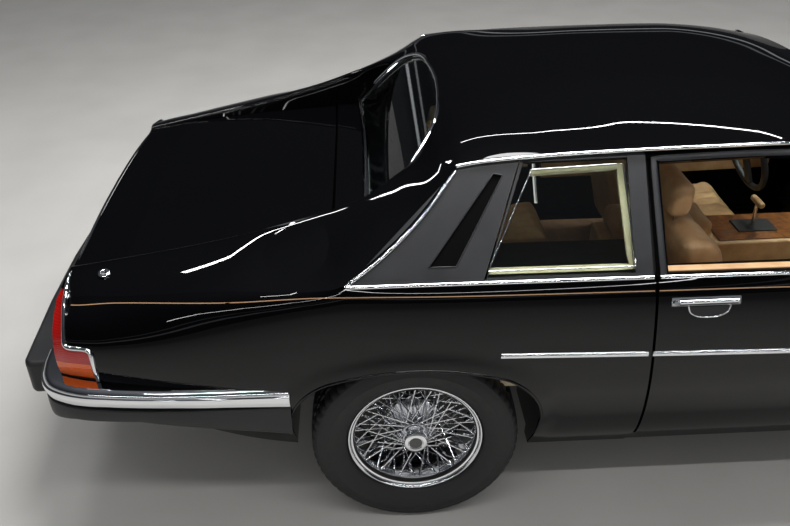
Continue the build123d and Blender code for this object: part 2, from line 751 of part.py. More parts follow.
def backlight_plane():
    along = Vector(255, 0, 267).normalized()
    normal = Vector(-along.Z, 0, along.X)
    return Plane(origin=(at(-122), 0, 902), x_dir=(0, -1, 0), z_dir=normal)


def backlight_outline(grow=0.0):
    """The rear window's outline on its own plane: a straight foot, drawn-in sides and a bowed head."""
    g = grow
    foot, side = (586 + g, 14 - g), (560 + g, 118)
    hip, bend, crown = (473 + g, 222 + g * 0.6), (378 + g * 0.8, 292 + g * 0.8), (240 + g * 0.4, 332 + g)
    arc = Edge.make_three_point_arc

    def left(point):
        return (-point[0], point[1], 0)

    def right(point):
        return (point[0], point[1], 0)

    edges = [Edge.make_line(left(foot), right(foot))]
    edges.append(arc(right(foot), right(side), right(hip)))
    edges.append(arc(right(hip), right(bend), right(crown)))
    edges.append(arc(right(crown), (0, 350 + g, 0), left(crown)))
    edges.append(arc(left(crown), left(bend), left(hip)))
    edges.append(arc(left(hip), left(side), left(foot)))
    return closed_face(edges)


def backlight():
    return backlight_plane() * Location((0, 0, -10)) * extrude(backlight_outline(), amount=GLASS)


def backlight_surround():
    plate = extrude(backlight_outline(BACKLIGHT_EDGE), amount=22)
    hole = Location((0, 0, -5)) * extrude(backlight_outline(), amount=40)
    return backlight_plane() * Location((0, 0, -22)) * (plate - hole)


def rear_deck():
    """The deck between boot lid and rear window, running on inside as the parcel shelf."""
    form = lower_form(-516, 300) - hollow(-516, 300, SKIN, DECK_SKIN)
    deck = form & box_between(at(BOOT_FRONT + SHUT_GAP), at(96), -DECK_HALF, DECK_HALF, 700, 1000)
    deck += form & lid_seam(BOOT_PIN, SEAM_RADIUS, BOOT_HALF_FRONT + SHUT_GAP)
    for y in (-LID_HINGES_Y, LID_HINGES_Y):
        deck += lid_bracket(BOOT_PIN, y, BOOT_PIN[1] + 26)
    return deck


BUMPER_Z = (408.0, 523.0)
BLADE_TOP_Z = 571.0
FRONT_BLADE = 10.0
REAR_BUMPER = [(-372, 893), (-700, 890), (-900, 873), (-1034, 838), (-1100, 785), (-1132, 650)]
FRONT_BUMPER = [(3052, 893), (3300, 884), (3420, 850), (3500, 790), (3560, 650)]
BEAM_HALF = 645.0
REAR_BEAM = [(-1000, 640), (-1150, 688), (-1198, 686), (-1230, 300), (-REAR_OVERHANG, 0)]


def bumper_band(outline, z0, z1, body, inset=0.0):
    """A band round one end of the car, cut away where the body stands."""
    left = [(x, y - inset) for x, y in outline]
    right = [(x, -y) for x, y in reversed(left)]
    return plan_prism([*left, *right], z0, z1) - body


def rear_bumper(body):
    z0, z1 = BUMPER_Z
    right = [(x, -y) for x, y in reversed(REAR_BEAM[:-1])]
    beam = plan_prism([*REAR_BEAM, *right], z0 + 20, z1 + 20)
    return bumper_band(REAR_BUMPER, z0, z1, body, inset=3) + (beam - body)


def rear_blades(body, rubber):
    band = bumper_band(REAR_BUMPER, BUMPER_Z[1], BLADE_TOP_Z, body)
    middle = box_between(at(-1300), at(-900), -BEAM_HALF, BEAM_HALF, 400, 700)
    return band - middle - rubber


def front_bumper(body):
    z0, z1 = BUMPER_Z
    band = bumper_band(FRONT_BUMPER, z0, z1, body, inset=3)
    nose = WHEELBASE + FRONT_OVERHANG
    beam = box_between(at(NOSE_FACE), at(nose), -BEAM_HALF, BEAM_HALF, z0 + 20, z1 + 12)
    return band + (beam - body)


def front_blades(body, rubber):
    band = bumper_band(FRONT_BUMPER, BUMPER_Z[1], BUMPER_Z[1] + FRONT_BLADE, body)
    middle = box_between(at(3300), at(3700), -BEAM_HALF, BEAM_HALF, 400, 700)
    return band - middle - rubber


def revolved(points):
    """A ring about the Y axis from an outline given as y and radius."""
    wire = Polyline([(r, y, 0) for y, r in points], close=True)
    return revolve(make_face(wire), axis=Axis.Y)


def tyre():
    half = TYRE_WIDTH / 2
    return revolved(
        [
            (-79.5, 188),
            (-79.5, 209),
            (-97, 214),
            (-half, 252),
            (-104, 302),
            (-80, TYRE_RADIUS),
            (80, TYRE_RADIUS),
            (104, 302),
            (half, 252),
            (97, 214),
            (79.5, 209),
            (79.5, 188),
        ]
    )


STUB_RADIUS = 29.0
HUB_BORE = STUB_RADIUS + FIT


def wire_wheel():
    """Rim, hub and laced spokes; the outer face looks along +Y."""
    half = RIM_WIDTH / 2
    rim = revolved(
        [
            (-half, RIM_RADIUS),
            (-half + 8, RIM_RADIUS),
            (-81, 187.4),
            (81, 187.4),
            (half - 8, RIM_RADIUS),
            (half, RIM_RADIUS),
            (half, 194),
            (74, 178),
            (-74, 178),
            (-half, 194),
        ]
    )
    hub = revolved([(-54, HUB_BORE), (-54, 62), (-30, 84), (24, 80), (66, 44), (84, 38), (84, 0), (60, 0), (60, HUB_BORE)])
    spokes = []
    for i in range(SPOKE_COUNT):
        turn = 360.0 * i / SPOKE_COUNT
        lean = 24.0 if i % 2 else -24.0
        inner_y, rim_y = (30.0, 48.0) if i % 4 < 2 else (-24.0, 34.0)
        a, b = math.radians(turn + lean), math.radians(turn)
        start = Vector(76 * math.cos(a), inner_y, 76 * math.sin(a))
        end = Vector(182 * math.cos(b), rim_y, 182 * math.sin(b))
        axis = end - start
        plane = Plane(origin=start, z_dir=axis)
        spokes.append(extrude(plane * RegularPolygon(3.2, 5), amount=axis.length))
    return rim.fuse(hub, *spokes)


# Front suspension, about the wheel centre
PIVOT_IN = 87.0
ARM_LOW = -94.0
ARM_HIGH = 100.0
BALL_RADIUS = 9.0
ARM_REACH = FRONT_TRACK / 2 - PIVOT_IN + 18
ENGINE_LOW = 268.0


def knuckle():
    """Left front upright with its stub axle and steering arm, about the wheel centre."""
    upright = box_between(-32, 32, -PIVOT_IN - 13, -PIVOT_IN + 13, ARM_LOW + 6, ARM_HIGH - 6)
    upright += Location((0, -PIVOT_IN, 0)) * Cylinder(BALL_RADIUS, 2 * ARM_HIGH + 24)
    stub = Location((0, -20, 0), (90, 0, 0)) * Cylinder(STUB_RADIUS, 150)
    arm = box_between(-150, -20, -PIVOT_IN - 11, -PIVOT_IN + 11, -60, -36)
    return upright + stub + arm


def front_suspension():
    """Crossmember with its lower and upper arms, holding the uprights at their outer ends."""
    x = FRONT_AXLE_X
    frame = box_between(x - 90, x + 90, -380, 380, 196, ENGINE_LOW)
    for side in (1, -1):
        y0, y1 = sorted((side * 370, side * ARM_REACH))
        low = TYRE_RADIUS + ARM_LOW
        frame += box_between(x - 30, x + 30, y0, y1, low - 24, low)
        y0, y1 = sorted((side * 360, side * ARM_REACH))
        high = TYRE_RADIUS + ARM_HIGH
        frame += box_between(x - 24, x + 24, y0, y1, high, high + 18)
        pivot = Location((x, side * (FRONT_TRACK / 2 - PIVOT_IN), TYRE_RADIUS))
        frame -= pivot * Cylinder(BALL_RADIUS + FIT, 400)
        y0, y1 = sorted((side * 360, side * 400))
        frame += box_between(x - 50, x + 50, y0, y1, 250, 438)
    return frame


def rear_axle():
    """Final drive with its half shafts, stub axles, hub carriers and lower links."""
    x = REAR_AXLE_X
    drive = box_between(x - 110, x + 120, -125, 125, 215, 425)
    drive += box_between(x - 60, x + 60, -170, 170, 400, BOOT_FLOOR_Z)
    reach = REAR_TRACK / 2 + 44
    drive += Location((x, 0, TYRE_RADIUS), (90, 0, 0)) * Cylinder(STUB_RADIUS, 2 * reach)
    for side in (1, -1):
        y0, y1 = sorted((side * 590, side * 624))
        drive += box_between(x - 45, x + 45, y0, y1, 200, 400)
        y0, y1 = sorted((side * 100, side * 600))
        drive += box_between(x - 30, x + 30, y0, y1, 216, 246)
    return drive


def propshaft():
    return Location((at(640), 0, TYRE_RADIUS), (0, 90, 0)) * Cylinder(36, 1040)


def engine():
    block = box_between(at(2130), at(2900), -330, 330, ENGINE_LOW, 722)
    return block + box_between(at(1160), at(2140), -112, 112, 214, 392)


def exhaust():
    """Two pipes with silencers, from the engine to tips under the bumper."""
    def pipe(points, radius):
        run = None
        for a, b in zip(points, points[1:]):
            axis = Vector(b) - Vector(a)
            piece = extrude(Plane(origin=a, z_dir=axis) * Circle(radius), amount=axis.length)
            piece += Location(b) * Sphere(radius)
            run = piece if run is None else run + piece
        return run

    left = pipe([(at(2400), 250, 290), (at(2300), 215, 170), (at(-380), 215, 170), (at(-470), 300, 255)], 22)
    left += box_between(at(700), at(1150), 150, 290, 140, FLOOR_Z)
    left += box_between(at(-860), at(-460), 215, 385, 205, 330)
    left += Location((at(-980), 300, 262), (0, 90, 0)) * Cylinder(27, 260)
    return Compound(children=[left, mirrored(left)])


SEAT_Y = (172.0, 662.0)


def front_seat():
    """Left front seat: base, cushion, leaning back and headrest."""
    base = side_prism([(1040, FLOOR_TOP), (1440, FLOOR_TOP), (1440, 330), (1040, 300)], 215, 600)
    cushion = side_prism([(1000, 296), (1496, 330), (1510, 420), (1470, 462), (1050, 420)], *SEAT_Y)
    back = side_prism([(1090, 380), (930, 860), (880, 892), (800, 880), (940, 300), (1040, 300)], *SEAT_Y)
    rest = side_prism([(872, 880), (880, 1000), (852, 1020), (800, 1016), (790, 880)], 287, 547)
    return base + cushion + back + rest


def rear_seat():
    """Two cushions, one each side of the tunnel, under one full-width back."""
    cushion = [(330, 417), (412, 417), (446, 262), (610, 262), (650, 390), (612, 450), (330, 436)]
    seat = side_prism([(207, 417), (345, 417), (330, 470), (205, 845), (150, 862), (110, 850)], -528, 528)
    for side in (1, -1):
        y0, y1 = sorted((side * 162, side * 528))
        seat += side_prism(cushion, y0, y1)
    return seat


def console():
    """Centre console with its armrest and the selector lever."""
    body = box_between(at(760), at(1760), -112, 112, 430, 560)
    body += box_between(at(780), at(1180), -100, 100, 550, 640)
    body += side_prism([(1500, 550), (1640, 550), (1760, 640), (1760, 700)], -112, 112)
    lever = Location((at(1361), 0, 600)) * Cylinder(9, 130)
    grip = Location((at(1361), 0, 672), (90, 0, 0)) * Cylinder(14, 84)
    return body + lever + grip


def dashboard():
    outline = [(1700, 660), (1640, 720), (1640, 790), (1700, 832), (1900, 832), (1950, 700), (1900, 640)]
    return side_prism(outline, -755, 755)


def steering_wheel():
    """Rim, boss, two spokes and column of a left-hand-drive wheel."""
    ring = Torus(188, 13)
    ring += Cylinder(60, 34)
    ring += Box(376, 46, 14)
    ring += Location((0, 0, 140)) * Cylinder(24, 270)
    return Location((at(1452), 372, 742), (0, 72, 0)) * ring


def door_handle():
    bar = box_between(at(716), at(916), 860, 893, 800, 822)
    bar += box_between(at(850), at(912), 860, 889, 780, 802)
    return bar - lower_form(DOOR_REAR, SCREEN_FOOT)


def save(name, shape):
    solids = [s for s in shape.solids() if s.volume > SLIVER]
    piece = Compound(children=solids) if len(solids) > 1 else solids[0]
    export_step(piece, f"parts/{name}.step")


def pair(shape):
    return Compound(children=[shape, mirrored(shape)])


def wheel_places():
    half_front, half_rear = FRONT_TRACK / 2, REAR_TRACK / 2
    return {
        "front_left": (FRONT_AXLE_X, half_front),
        "front_right": (FRONT_AXLE_X, -half_front),
        "rear_left": (REAR_AXLE_X, half_rear),
        "rear_right": (REAR_AXLE_X, -half_rear),
    }


def main():
    os.makedirs("parts", exist_ok=True)
    outer = rear_outer() & tail_limit(0)
    parts = {}
    parts["boot_lid"] = boot_lid(outer)
    left_quarter = quarter_panel(outer)
    parts["quarter_panel_left"] = left_quarter
    parts["quarter_panel_right"] = mirrored(left_quarter)
    parts["rear_panel"] = rear_panel(outer)
    parts["tail_lamps"] = pair(tail_lamp(outer))
    left_door = door()
    for move in ROOF_CLEARANCES:
        left_door -= Location(move) * roof()
    left_door -= door_seam(SEAM_RADIUS + SEAM_GAP)
    for z in DOOR_HINGES_Z:
        left_door += door_neck(z)
    parts["door_left"] = left_door
    parts["door_right"] = mirrored(left_door)
    handle = door_handle()
    parts["door_handle_left"] = handle
    parts["door_handle_right"] = mirrored(handle)
    parts["roof"] = roof()
    parts["windscreen"] = windscreen()
    parts["windscreen_pillars"] = pair(screen_pillar())
    parts["quarter_frames"] = pair(quarter_frame() - left_quarter - roof())
    parts["sail_finishers"] = pair(finisher() - roof())
    parts["quarter_glass"] = pair(quarter_glass())
    parts["rear_deck"] = rear_deck() - left_quarter - mirrored(left_quarter)
    deck_neighbours = (left_quarter, mirrored(left_quarter), parts["roof"], parts["rear_deck"])
    surround = backlight_surround()
    for shape in deck_neighbours:
        surround -= shape
    parts["rear_window_surround"] = surround
    parts["rear_window"] = backlight() - left_quarter - mirrored(left_quarter) - parts["roof"]
    parts["bonnet"] = bonnet()
    wing = front_wing()
    parts["front_wing_left"] = wing
    parts["front_wing_right"] = mirrored(wing)
    parts["scuttle"] = scuttle()
    parts["nose_panel"] = nose_panel()
    parts["headlamps"] = headlamps()
    parts["grille"] = grille()
    left_sill = sill()
    parts["sills"] = pair(left_sill)
    around = (
        left_quarter,
        mirrored(left_quarter),
        wing,
        mirrored(wing),
        left_sill,
        mirrored(left_sill),
        parts["rear_deck"],
        parts["scuttle"],
    )
    parts["floor_pan"] = main_floor(around)
    body = lower_form(TAIL, 300)
    parts["rear_bumper"] = rear_bumper(body)
    parts["rear_blades"] = rear_blades(body, parts["rear_bumper"])
    body = lower_form(2300, NOSE_FACE)
    parts["front_bumper"] = front_bumper(body)
    parts["front_blades"] = front_blades(body, parts["front_bumper"])
    parts["front_suspension"] = front_suspension()
    parts["rear_axle"] = rear_axle()
    parts["propshaft"] = propshaft()
    parts["engine_gearbox"] = engine()
    parts["exhaust"] = exhaust() - parts["engine_gearbox"]
    seat = front_seat()
    parts["front_seat_left"] = seat
    parts["front_seat_right"] = mirrored(seat)
    parts["rear_seat"] = rear_seat()
    parts["console"] = console()
    parts["steering_wheel"] = steering_wheel()
    parts["dashboard"] = dashboard() - parts["steering_wheel"] - parts["console"]
    rubber, wire = tyre(), wire_wheel()
    for name, (x, y) in wheel_places().items():
        place = Location((x, y, TYRE_RADIUS))
        parts[f"tyre_{name}"] = place * (rubber if y > 0 else mirrored(rubber))
        parts[f"wheel_{name}"] = place * (wire if y > 0 else mirrored(wire))
    upright = Location((FRONT_AXLE_X, FRONT_TRACK / 2, TYRE_RADIUS)) * knuckle()
    parts["knuckle_left"] = upright
    parts["knuckle_right"] = mirrored(upright)
    for name, shape in parts.items():
        save(name, shape)


main()
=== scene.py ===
import math
import json
import bpy
import bmesh
import numpy as np
from bisect import bisect_right
from mathutils import Vector, Matrix
from mathutils.bvhtree import BVHTree
from mathutils.geometry import barycentric_transform

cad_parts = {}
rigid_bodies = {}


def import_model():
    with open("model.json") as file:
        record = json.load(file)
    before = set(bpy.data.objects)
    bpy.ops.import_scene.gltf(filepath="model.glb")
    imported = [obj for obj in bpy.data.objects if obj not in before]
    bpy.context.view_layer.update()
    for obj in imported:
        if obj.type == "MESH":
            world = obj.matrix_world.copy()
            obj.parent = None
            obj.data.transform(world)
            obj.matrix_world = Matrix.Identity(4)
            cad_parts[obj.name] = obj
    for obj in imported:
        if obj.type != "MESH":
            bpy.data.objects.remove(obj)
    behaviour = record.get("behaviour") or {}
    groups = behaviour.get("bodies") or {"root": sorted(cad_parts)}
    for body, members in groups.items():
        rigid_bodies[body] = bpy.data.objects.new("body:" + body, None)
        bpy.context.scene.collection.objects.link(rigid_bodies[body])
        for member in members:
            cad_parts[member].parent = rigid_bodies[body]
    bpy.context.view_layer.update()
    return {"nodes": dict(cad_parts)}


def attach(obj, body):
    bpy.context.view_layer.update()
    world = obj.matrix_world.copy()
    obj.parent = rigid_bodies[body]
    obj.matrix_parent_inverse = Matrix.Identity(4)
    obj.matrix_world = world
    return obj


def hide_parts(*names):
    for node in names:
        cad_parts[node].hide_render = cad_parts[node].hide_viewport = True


# A black two-door coupe on wire wheels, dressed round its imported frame. Metres, +X forward, +Z up.
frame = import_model()
nodes = frame["nodes"]
print("frame loaded:", len(nodes), "nodes")

mm = 0.001
rearAxle = -1.190  # x of the rear axle
hands = (("left", 1), ("right", -1))


# Colour and node helpers

def srgb(code):
    parts = [int(code[i:i + 2], 16) / 255 for i in (1, 3, 5)]
    linear = [c / 12.92 if c <= 0.04045 else ((c + 0.055) / 1.055) ** 2.4 for c in parts]
    return (*linear, 1.0)


# settings are inputs or properties by name, links are inputs fed by (node, output)
def addNode(tree, kind, settings=None, links=None):
    node = tree.nodes.new("ShaderNode" + kind)
    for key, value in (settings or {}).items():
        if hasattr(node, key) and key not in node.inputs:
            setattr(node, key, value)
        else:
            node.inputs[key].default_value = value
    for key, (source, output) in (links or {}).items():
        tree.links.new(source.outputs[output], node.inputs[key])
    return node


def newMaterial(name, shader):
    material = bpy.data.materials.new(name)
    material.use_nodes = True
    tree = material.node_tree
    tree.nodes.clear()
    surface = addNode(tree, "BsdfPrincipled", shader)
    addNode(tree, "OutputMaterial", links={"Surface": (surface, "BSDF")})
    return material, tree, surface


# a texture laid out in the piece's own space
def pattern(tree, kind, settings):
    space = addNode(tree, "TexCoord")
    return addNode(tree, kind, settings, {"Vector": (space, "Object")})


def bumpFrom(tree, surface, source, output, strength, depth, socket="Normal"):
    bump = addNode(tree, "Bump", {"Strength": strength, "Distance": depth}, {"Height": (source, output)})
    tree.links.new(bump.outputs["Normal"], surface.inputs[socket])


def colourRamp(tree, source, output, stops):
    ramp = addNode(tree, "ValToRGB", links={"Fac": (source, output)})
    elements = ramp.color_ramp.elements
    while len(elements) < len(stops):
        elements.new(0.5)
    for stop, (level, colour) in zip(elements, stops):
        stop.position = level
        stop.color = srgb(colour)
    return ramp


# colour that drifts between two tones
def tint(tree, surface, source, deep, pale, low=0.35, high=0.65):
    ramp = colourRamp(tree, source, "Fac", [(low, deep), (high, pale)])
    tree.links.new(ramp.outputs["Color"], surface.inputs["Base Color"])


# fine bump and drifting roughness; grain is (size, depth, roughness range, size of the drift) in metres
def grained(name, colour, grain, tones=None, more=None, cells=False):
    size, depth, (low, high), cloud = grain
    shader = {"Base Color": srgb(colour), **(more or {})}
    if shader.get("Metallic") != 1.0:
        shader["IOR"] = 1.5
    material, tree, surface = newMaterial(name, shader)
    if cells:
        bumpFrom(tree, surface, pattern(tree, "TexVoronoi", {"Scale": 1 / size}), "Distance", 1.0, depth)
    else:
        noise = pattern(tree, "TexNoise", {"Scale": 1 / size, "Detail": 3.0})
        bumpFrom(tree, surface, noise, "Fac", 1.0, depth)
    drift = pattern(tree, "TexNoise", {"Scale": 1 / cloud, "Detail": 4.0})
    spread = addNode(
        tree, "MapRange", {"From Min": 0.3, "From Max": 0.7, "To Min": low, "To Max": high},
        {"Value": (drift, "Fac")},
    )
    tree.links.new(spread.outputs["Result"], surface.inputs["Roughness"])
    if tones:
        tint(tree, surface, drift, *tones)
    return material


# Materials, each named for what it is and how it was made

def blackLacquer():
    # two-pack black lacquer, flatted and polished: deep black with a clear, mirror-like face
    material, tree, surface = newMaterial("blackLacquerPolished", {
        "Base Color": srgb("#040405"), "Roughness": 0.4, "IOR": 1.5, "Specular IOR Level": 0.0,
        "Coat Weight": 0.7, "Coat Roughness": 0.015, "Coat IOR": 1.5,
    })
    peel = pattern(tree, "TexNoise", {"Scale": 1 / 0.012, "Detail": 1.0})
    bumpFrom(tree, surface, peel, "Fac", 0.12, 0.00012, "Coat Normal")
    return material


def walnut():
    # book-matched burr walnut veneer under clear lacquer
    material, tree, surface = newMaterial("walnutVeneerLacquered", {
        "Roughness": 0.3, "IOR": 1.5, "Coat Weight": 0.9, "Coat Roughness": 0.05,
    })
    swirl = pattern(tree, "TexNoise", {"Scale": 14.0, "Detail": 6.0, "Distortion": 2.2})
    tint(tree, surface, swirl, "#3A1F10", "#8A5428", 0.32, 0.68)
    return material


def clearPane(name, colour):
    # float glass, faintly green through its edge; shadow rays pass so that the cabin is lit
    material, tree, surface = newMaterial(name, {
        "Base Color": srgb(colour), "Roughness": 0.0, "IOR": 1.5, "Transmission Weight": 1.0,
    })
    out = next(n for n in tree.nodes if n.type == "OUTPUT_MATERIAL")
    path = addNode(tree, "LightPath")
    clear = addNode(tree, "BsdfTransparent", {"Color": srgb(colour)})
    mix = addNode(tree, "MixShader", links={
        "Fac": (path, "Is Shadow Ray"), 1: (surface, "BSDF"), 2: (clear, "BSDF"),
    })
    tree.links.new(mix.outputs["Shader"], out.inputs["Surface"])
    return material


def lens(name, colour):
    # moulded acrylic lens with fine flutes inside
    material, tree, surface = newMaterial(name, {
        "Base Color": srgb(colour), "Roughness": 0.08, "IOR": 1.49, "Transmission Weight": 0.25,
        "Coat Weight": 1.0, "Coat Roughness": 0.03,
    })
    flutes = pattern(tree, "TexWave", {"Scale": 1 / 0.02, "bands_direction": "Z"})
    bumpFrom(tree, surface, flutes, "Fac", 0.5, 0.0012)
    return material


metal = {"Metallic": 1.0}
paint = blackLacquer()
veneer = walnut()
paneGlass = clearPane("floatGlassClear", "#DDE5E0")
redLens = lens("acrylicLensRed", "#B3120B")
amberLens = lens("acrylicLensAmber", "#F0661A")
clearLens = lens("glassLensClear", "#DADDDF")
# satin black acrylic paint sprayed on pressed steel: even, low sheen
satinBlack = grained(
    "satinBlackSprayedPanel", "#1C1D20", (0.0015, 0.00008, (0.34, 0.44), 0.12), ("#191A1D", "#202124"),
)
# triple-plated chrome on brass, buffed: bright with a faint cloud of wear
chromePlate = grained("chromePlateBuffed", "#E9EBEE", (0.03, 0.00004, (0.03, 0.10), 0.05), None, metal)
# chromed steel wire and pressed rim
wireChrome = grained("chromedWireBright", "#E4E6EA", (0.02, 0.00003, (0.06, 0.16), 0.02), None, metal)
# extruded bumper cover, slightly weathered
bumperRubber = grained(
    "rubberMouldedBumper", "#111214", (0.002, 0.00015, (0.42, 0.58), 0.09), ("#101113", "#17181A"),
)
tyreRubber = grained(
    "rubberTyreMoulded", "#151516", (0.004, 0.0002, (0.55, 0.74), 0.03), ("#121213", "#1D1D1E"),
)
underseal = grained(
    "bitumenUndersealBrushed", "#141414", (0.01, 0.0012, (0.7, 0.9), 0.06), ("#101010", "#1E1D1B"),
)
castIron = grained(
    "castIronPainted", "#2A2B2D", (0.003, 0.0005, (0.45, 0.65), 0.03), ("#232426", "#343537"),
    {"Metallic": 0.3},
)
exhaustSteel = grained(
    "steelExhaustAluminised", "#8C8780", (0.004, 0.0002, (0.35, 0.6), 0.05), ("#6F6A63", "#A29C92"), metal,
)
tanHide = grained(
    "hideTanPigmented", "#B99166", (0.0032, 0.0005, (0.42, 0.56), 0.06), ("#A98258", "#BF9A70"),
    {"Sheen Weight": 0.08}, True,
)
creamHide = grained(
    "hideCreamPigmented", "#CFBD9E", (0.0032, 0.0004, (0.45, 0.6), 0.07), ("#C4B08D", "#D6C5A8"),
    {"Sheen Weight": 0.06}, True,
)
# black plastic for the floor of the finisher slot, made near-black with little sheen as painted shade for
# the inside of the deep recess
slotShadeBlack = grained(
    "plasticBlackSlotPaintedShade", "#030303", (0.002, 0.0001, (0.5, 0.6), 0.05), None,
    {"Specular IOR Level": 0.05},
)
blackVinyl = grained(
    "vinylBlackGrained", "#17171A", (0.002, 0.0003, (0.45, 0.6), 0.05), ("#141416", "#1E1E21"),
    None, True,
)
coachPaint = grained(
    "coachLineCopperEnamel", "#A98361", (0.004, 0.00002, (0.3, 0.4), 0.05), None, {"Coat Weight": 0.6},
)
capBlack = grained(
    "enamelBlackCapCentre", "#0B0B0C", (0.01, 0.00002, (0.25, 0.3), 0.02), None, {"Coat Weight": 1.0},
)
carpet = grained(
    "carpetWoolTan", "#7A5A3C", (0.003, 0.0015, (0.85, 0.95), 0.05), ("#6E5135", "#866446"),
    {"Sheen Weight": 0.3},
)
headCloth = grained(
    "woolClothHeadlining", "#BFB093", (0.002, 0.0004, (0.8, 0.92), 0.05), ("#B8A98B", "#C8BA9E"),
    {"Sheen Weight": 0.2},
)

# a dressed piece's material and a slot name
painted, chrome, rubber = (paint, "paint"), (chromePlate, "chrome"), (bumperRubber, "bumper_rubber")
# the second look is the slot's floor, darkened as painted shade for the recess
satin, slotShade = (satinBlack, "finisher"), (slotShadeBlack, "finisher")
tan, cream, wood = (tanHide, "tan_leather"), (creamHide, "tan_leather"), (veneer, "wood_veneer")
dark, woolPile, copperLine = (blackVinyl, "dark_trim"), (carpet, "dark_trim"), (coachPaint, "paint")

# nodes by material; a star stands for left and right
nodeMaterials = [
    (paint, "boot_lid rear_panel roof windscreen_pillars rear_deck rear_window_surround bonnet scuttle"),
    (paint, "nose_panel sills quarter_panel_* door_* front_wing_*"),
    (satinBlack, "quarter_frames sail_finishers"),
    (chromePlate, "door_handle_* grille rear_blades front_blades"),
    (paneGlass, "windscreen quarter_glass rear_window"),
    (redLens, "tail_lamps"),
    (clearLens, "headlamps"),
    (bumperRubber, "rear_bumper front_bumper"),
    (underseal, "floor_pan"),
    (castIron, "front_suspension rear_axle propshaft engine_gearbox knuckle_*"),
    (exhaustSteel, "exhaust"),
    (tanHide, "front_seat_* rear_seat"),
    (blackVinyl, "console dashboard steering_wheel"),
    (tyreRubber, "tyre_front_* tyre_rear_*"),
    (wireChrome, "wheel_front_* wheel_rear_*"),
]


def bevel(piece, width, segments, angle=None, harden=False):
    soft = piece.modifiers.new("edge", "BEVEL")
    soft.width = width
    soft.segments = segments
    soft.harden_normals = harden
    if angle is not None:
        soft.limit_method = "ANGLE"
        soft.angle_limit = math.radians(angle)
    return soft


def dressNodes():
    done = 0
    for material, names in nodeMaterials:
        for name in names.split():
            for full in dict.fromkeys(name.replace("*", hand) for hand, _ in hands):
                piece = nodes[full]
                piece.data.materials.clear()
                piece.data.materials.append(material)
                bevel(piece, 1.2 * mm, 2, 40, True)
                done += 1
    print("materials on", done, "nodes")


dressNodes()


# Shape helpers. Points are in millimetres, x from the rear axle, like the tables.

def toMetres(point):
    return (point[0] * mm + rearAxle, point[1] * mm, point[2] * mm)


# puts a mesh, a light or a camera in the scene
def place(name, data):
    piece = bpy.data.objects.new(name, data)
    bpy.context.scene.collection.objects.link(piece)
    return piece


def smoothMesh(mesh, crease):
    mesh.polygons.foreach_set("use_smooth", [True] * len(mesh.polygons))
    mesh.set_sharp_from_angle(angle=math.radians(crease))


def turnOut(piece):
    shape = bmesh.new()
    shape.from_mesh(piece.data)
    bmesh.ops.recalc_face_normals(shape, faces=shape.faces)
    shape.to_mesh(piece.data)
    shape.free()


def flatPiece(name, points, faces, material):
    mesh = bpy.data.meshes.new(name)
    mesh.from_pydata([toMetres(p) for p in points], [], faces)
    mesh.validate()
    mesh.materials.append(material)
    piece = place(name, mesh)
    turnOut(piece)
    return piece


def closedPiece(name, points, faces, material, crease=35):
    piece = flatPiece(name, points, faces, material)
    smoothMesh(piece.data, crease)
    return piece


# a smooth curve through one column of a table, as a function of x that doesn't overshoot
def through(rows, column):
    xs = [row[0] for row in rows]
    ys = [row[column] for row in rows]
    steps = [b - a for a, b in zip(xs, xs[1:])]
    slopes = [(b - a) / h for a, b, h in zip(ys, ys[1:], steps)]
    tangents = [slopes[0]]
    for i in range(1, len(slopes)):
        a, b = slopes[i - 1], slopes[i]
        mean = (a * steps[i] + b * steps[i - 1]) / (steps[i] + steps[i - 1])
        limit = 3 * min(abs(a), abs(b)) if a * b > 0 else 0.0
        tangents.append(max(-limit, min(limit, mean)))
    tangents.append(slopes[-1])

    def value(x):
        x = max(xs[0], min(xs[-1], x))
        i = min(bisect_right(xs, x) - 1, len(steps) - 1)
        h = steps[i]
        t = (x - xs[i]) / h
        low = (1 + 2 * t) * (1 - t) ** 2 * ys[i] + t * (1 - t) ** 2 * h * tangents[i]
        return low + t * t * (3 - 2 * t) * ys[i + 1] + t * t * (t - 1) * h * tangents[i + 1]

    return value


# straight runs between (position, value) pairs, as a function
def polyline(points):
    xs = [p[0] for p in points]
    ys = [p[1] for p in points]
    return lambda x: float(np.interp(x, xs, ys))


def linePoints(a, b, count):
    shares = [(i + 1) / count for i in range(count)]
    return [(a[0] + (b[0] - a[0]) * t, a[1] + (b[1] - a[1]) * t) for t in shares]


# count points from a to c, a left out, on the circle through a, b and c
def arcPoints(a, b, c, count):
    (ax, ay), (bx, by), (cx, cy) = a, b, c
    d = 2 * (ax * (by - cy) + bx * (cy - ay) + cx * (ay - by))
    if abs(d) < 1e-3:
        return linePoints(a, c, count)
    sa, sb, sc = ax * ax + ay * ay, bx * bx + by * by, cx * cx + cy * cy
    ux = (sa * (by - cy) + sb * (cy - ay) + sc * (ay - by)) / d
    uy = (sa * (cx - bx) + sb * (ax - cx) + sc * (bx - ax)) / d
    radius = math.hypot(ax - ux, ay - uy)
    start = math.atan2(ay - uy, ax - ux)
    turn = math.remainder(math.atan2(cy - uy, cx - ux) - start, math.tau)
    turns = [start + turn * (i + 1) / count for i in range(count)]
    return [(ux + radius * math.cos(t), uy + radius * math.sin(t)) for t in turns]


# rounds the corners of a run of points, keeping its ends
def soften(points, passes):
    run = np.array(points, float)
    for _ in range(passes):
        run[1:-1] = (run[:-2] + 2 * run[1:-1] + run[2:]) / 4
    return run


# sections worked out every few millimetres, then read between
class Surface:
    def __init__(self, section, start, end, step=6.0):
        self.start, self.step = start, step
        count = int((end - start) / step) + 2
        self.rows = np.array([section(start + i * step) for i in range(count)])

    def at(self, x, j):
        spot = np.clip((x - self.start) / self.step, 0, len(self.rows) - 1.001)
        i = spot.astype(int)
        part = (spot - i)[..., None]
        return self.rows[i, j] * (1 - part) + self.rows[i + 1, j] * part


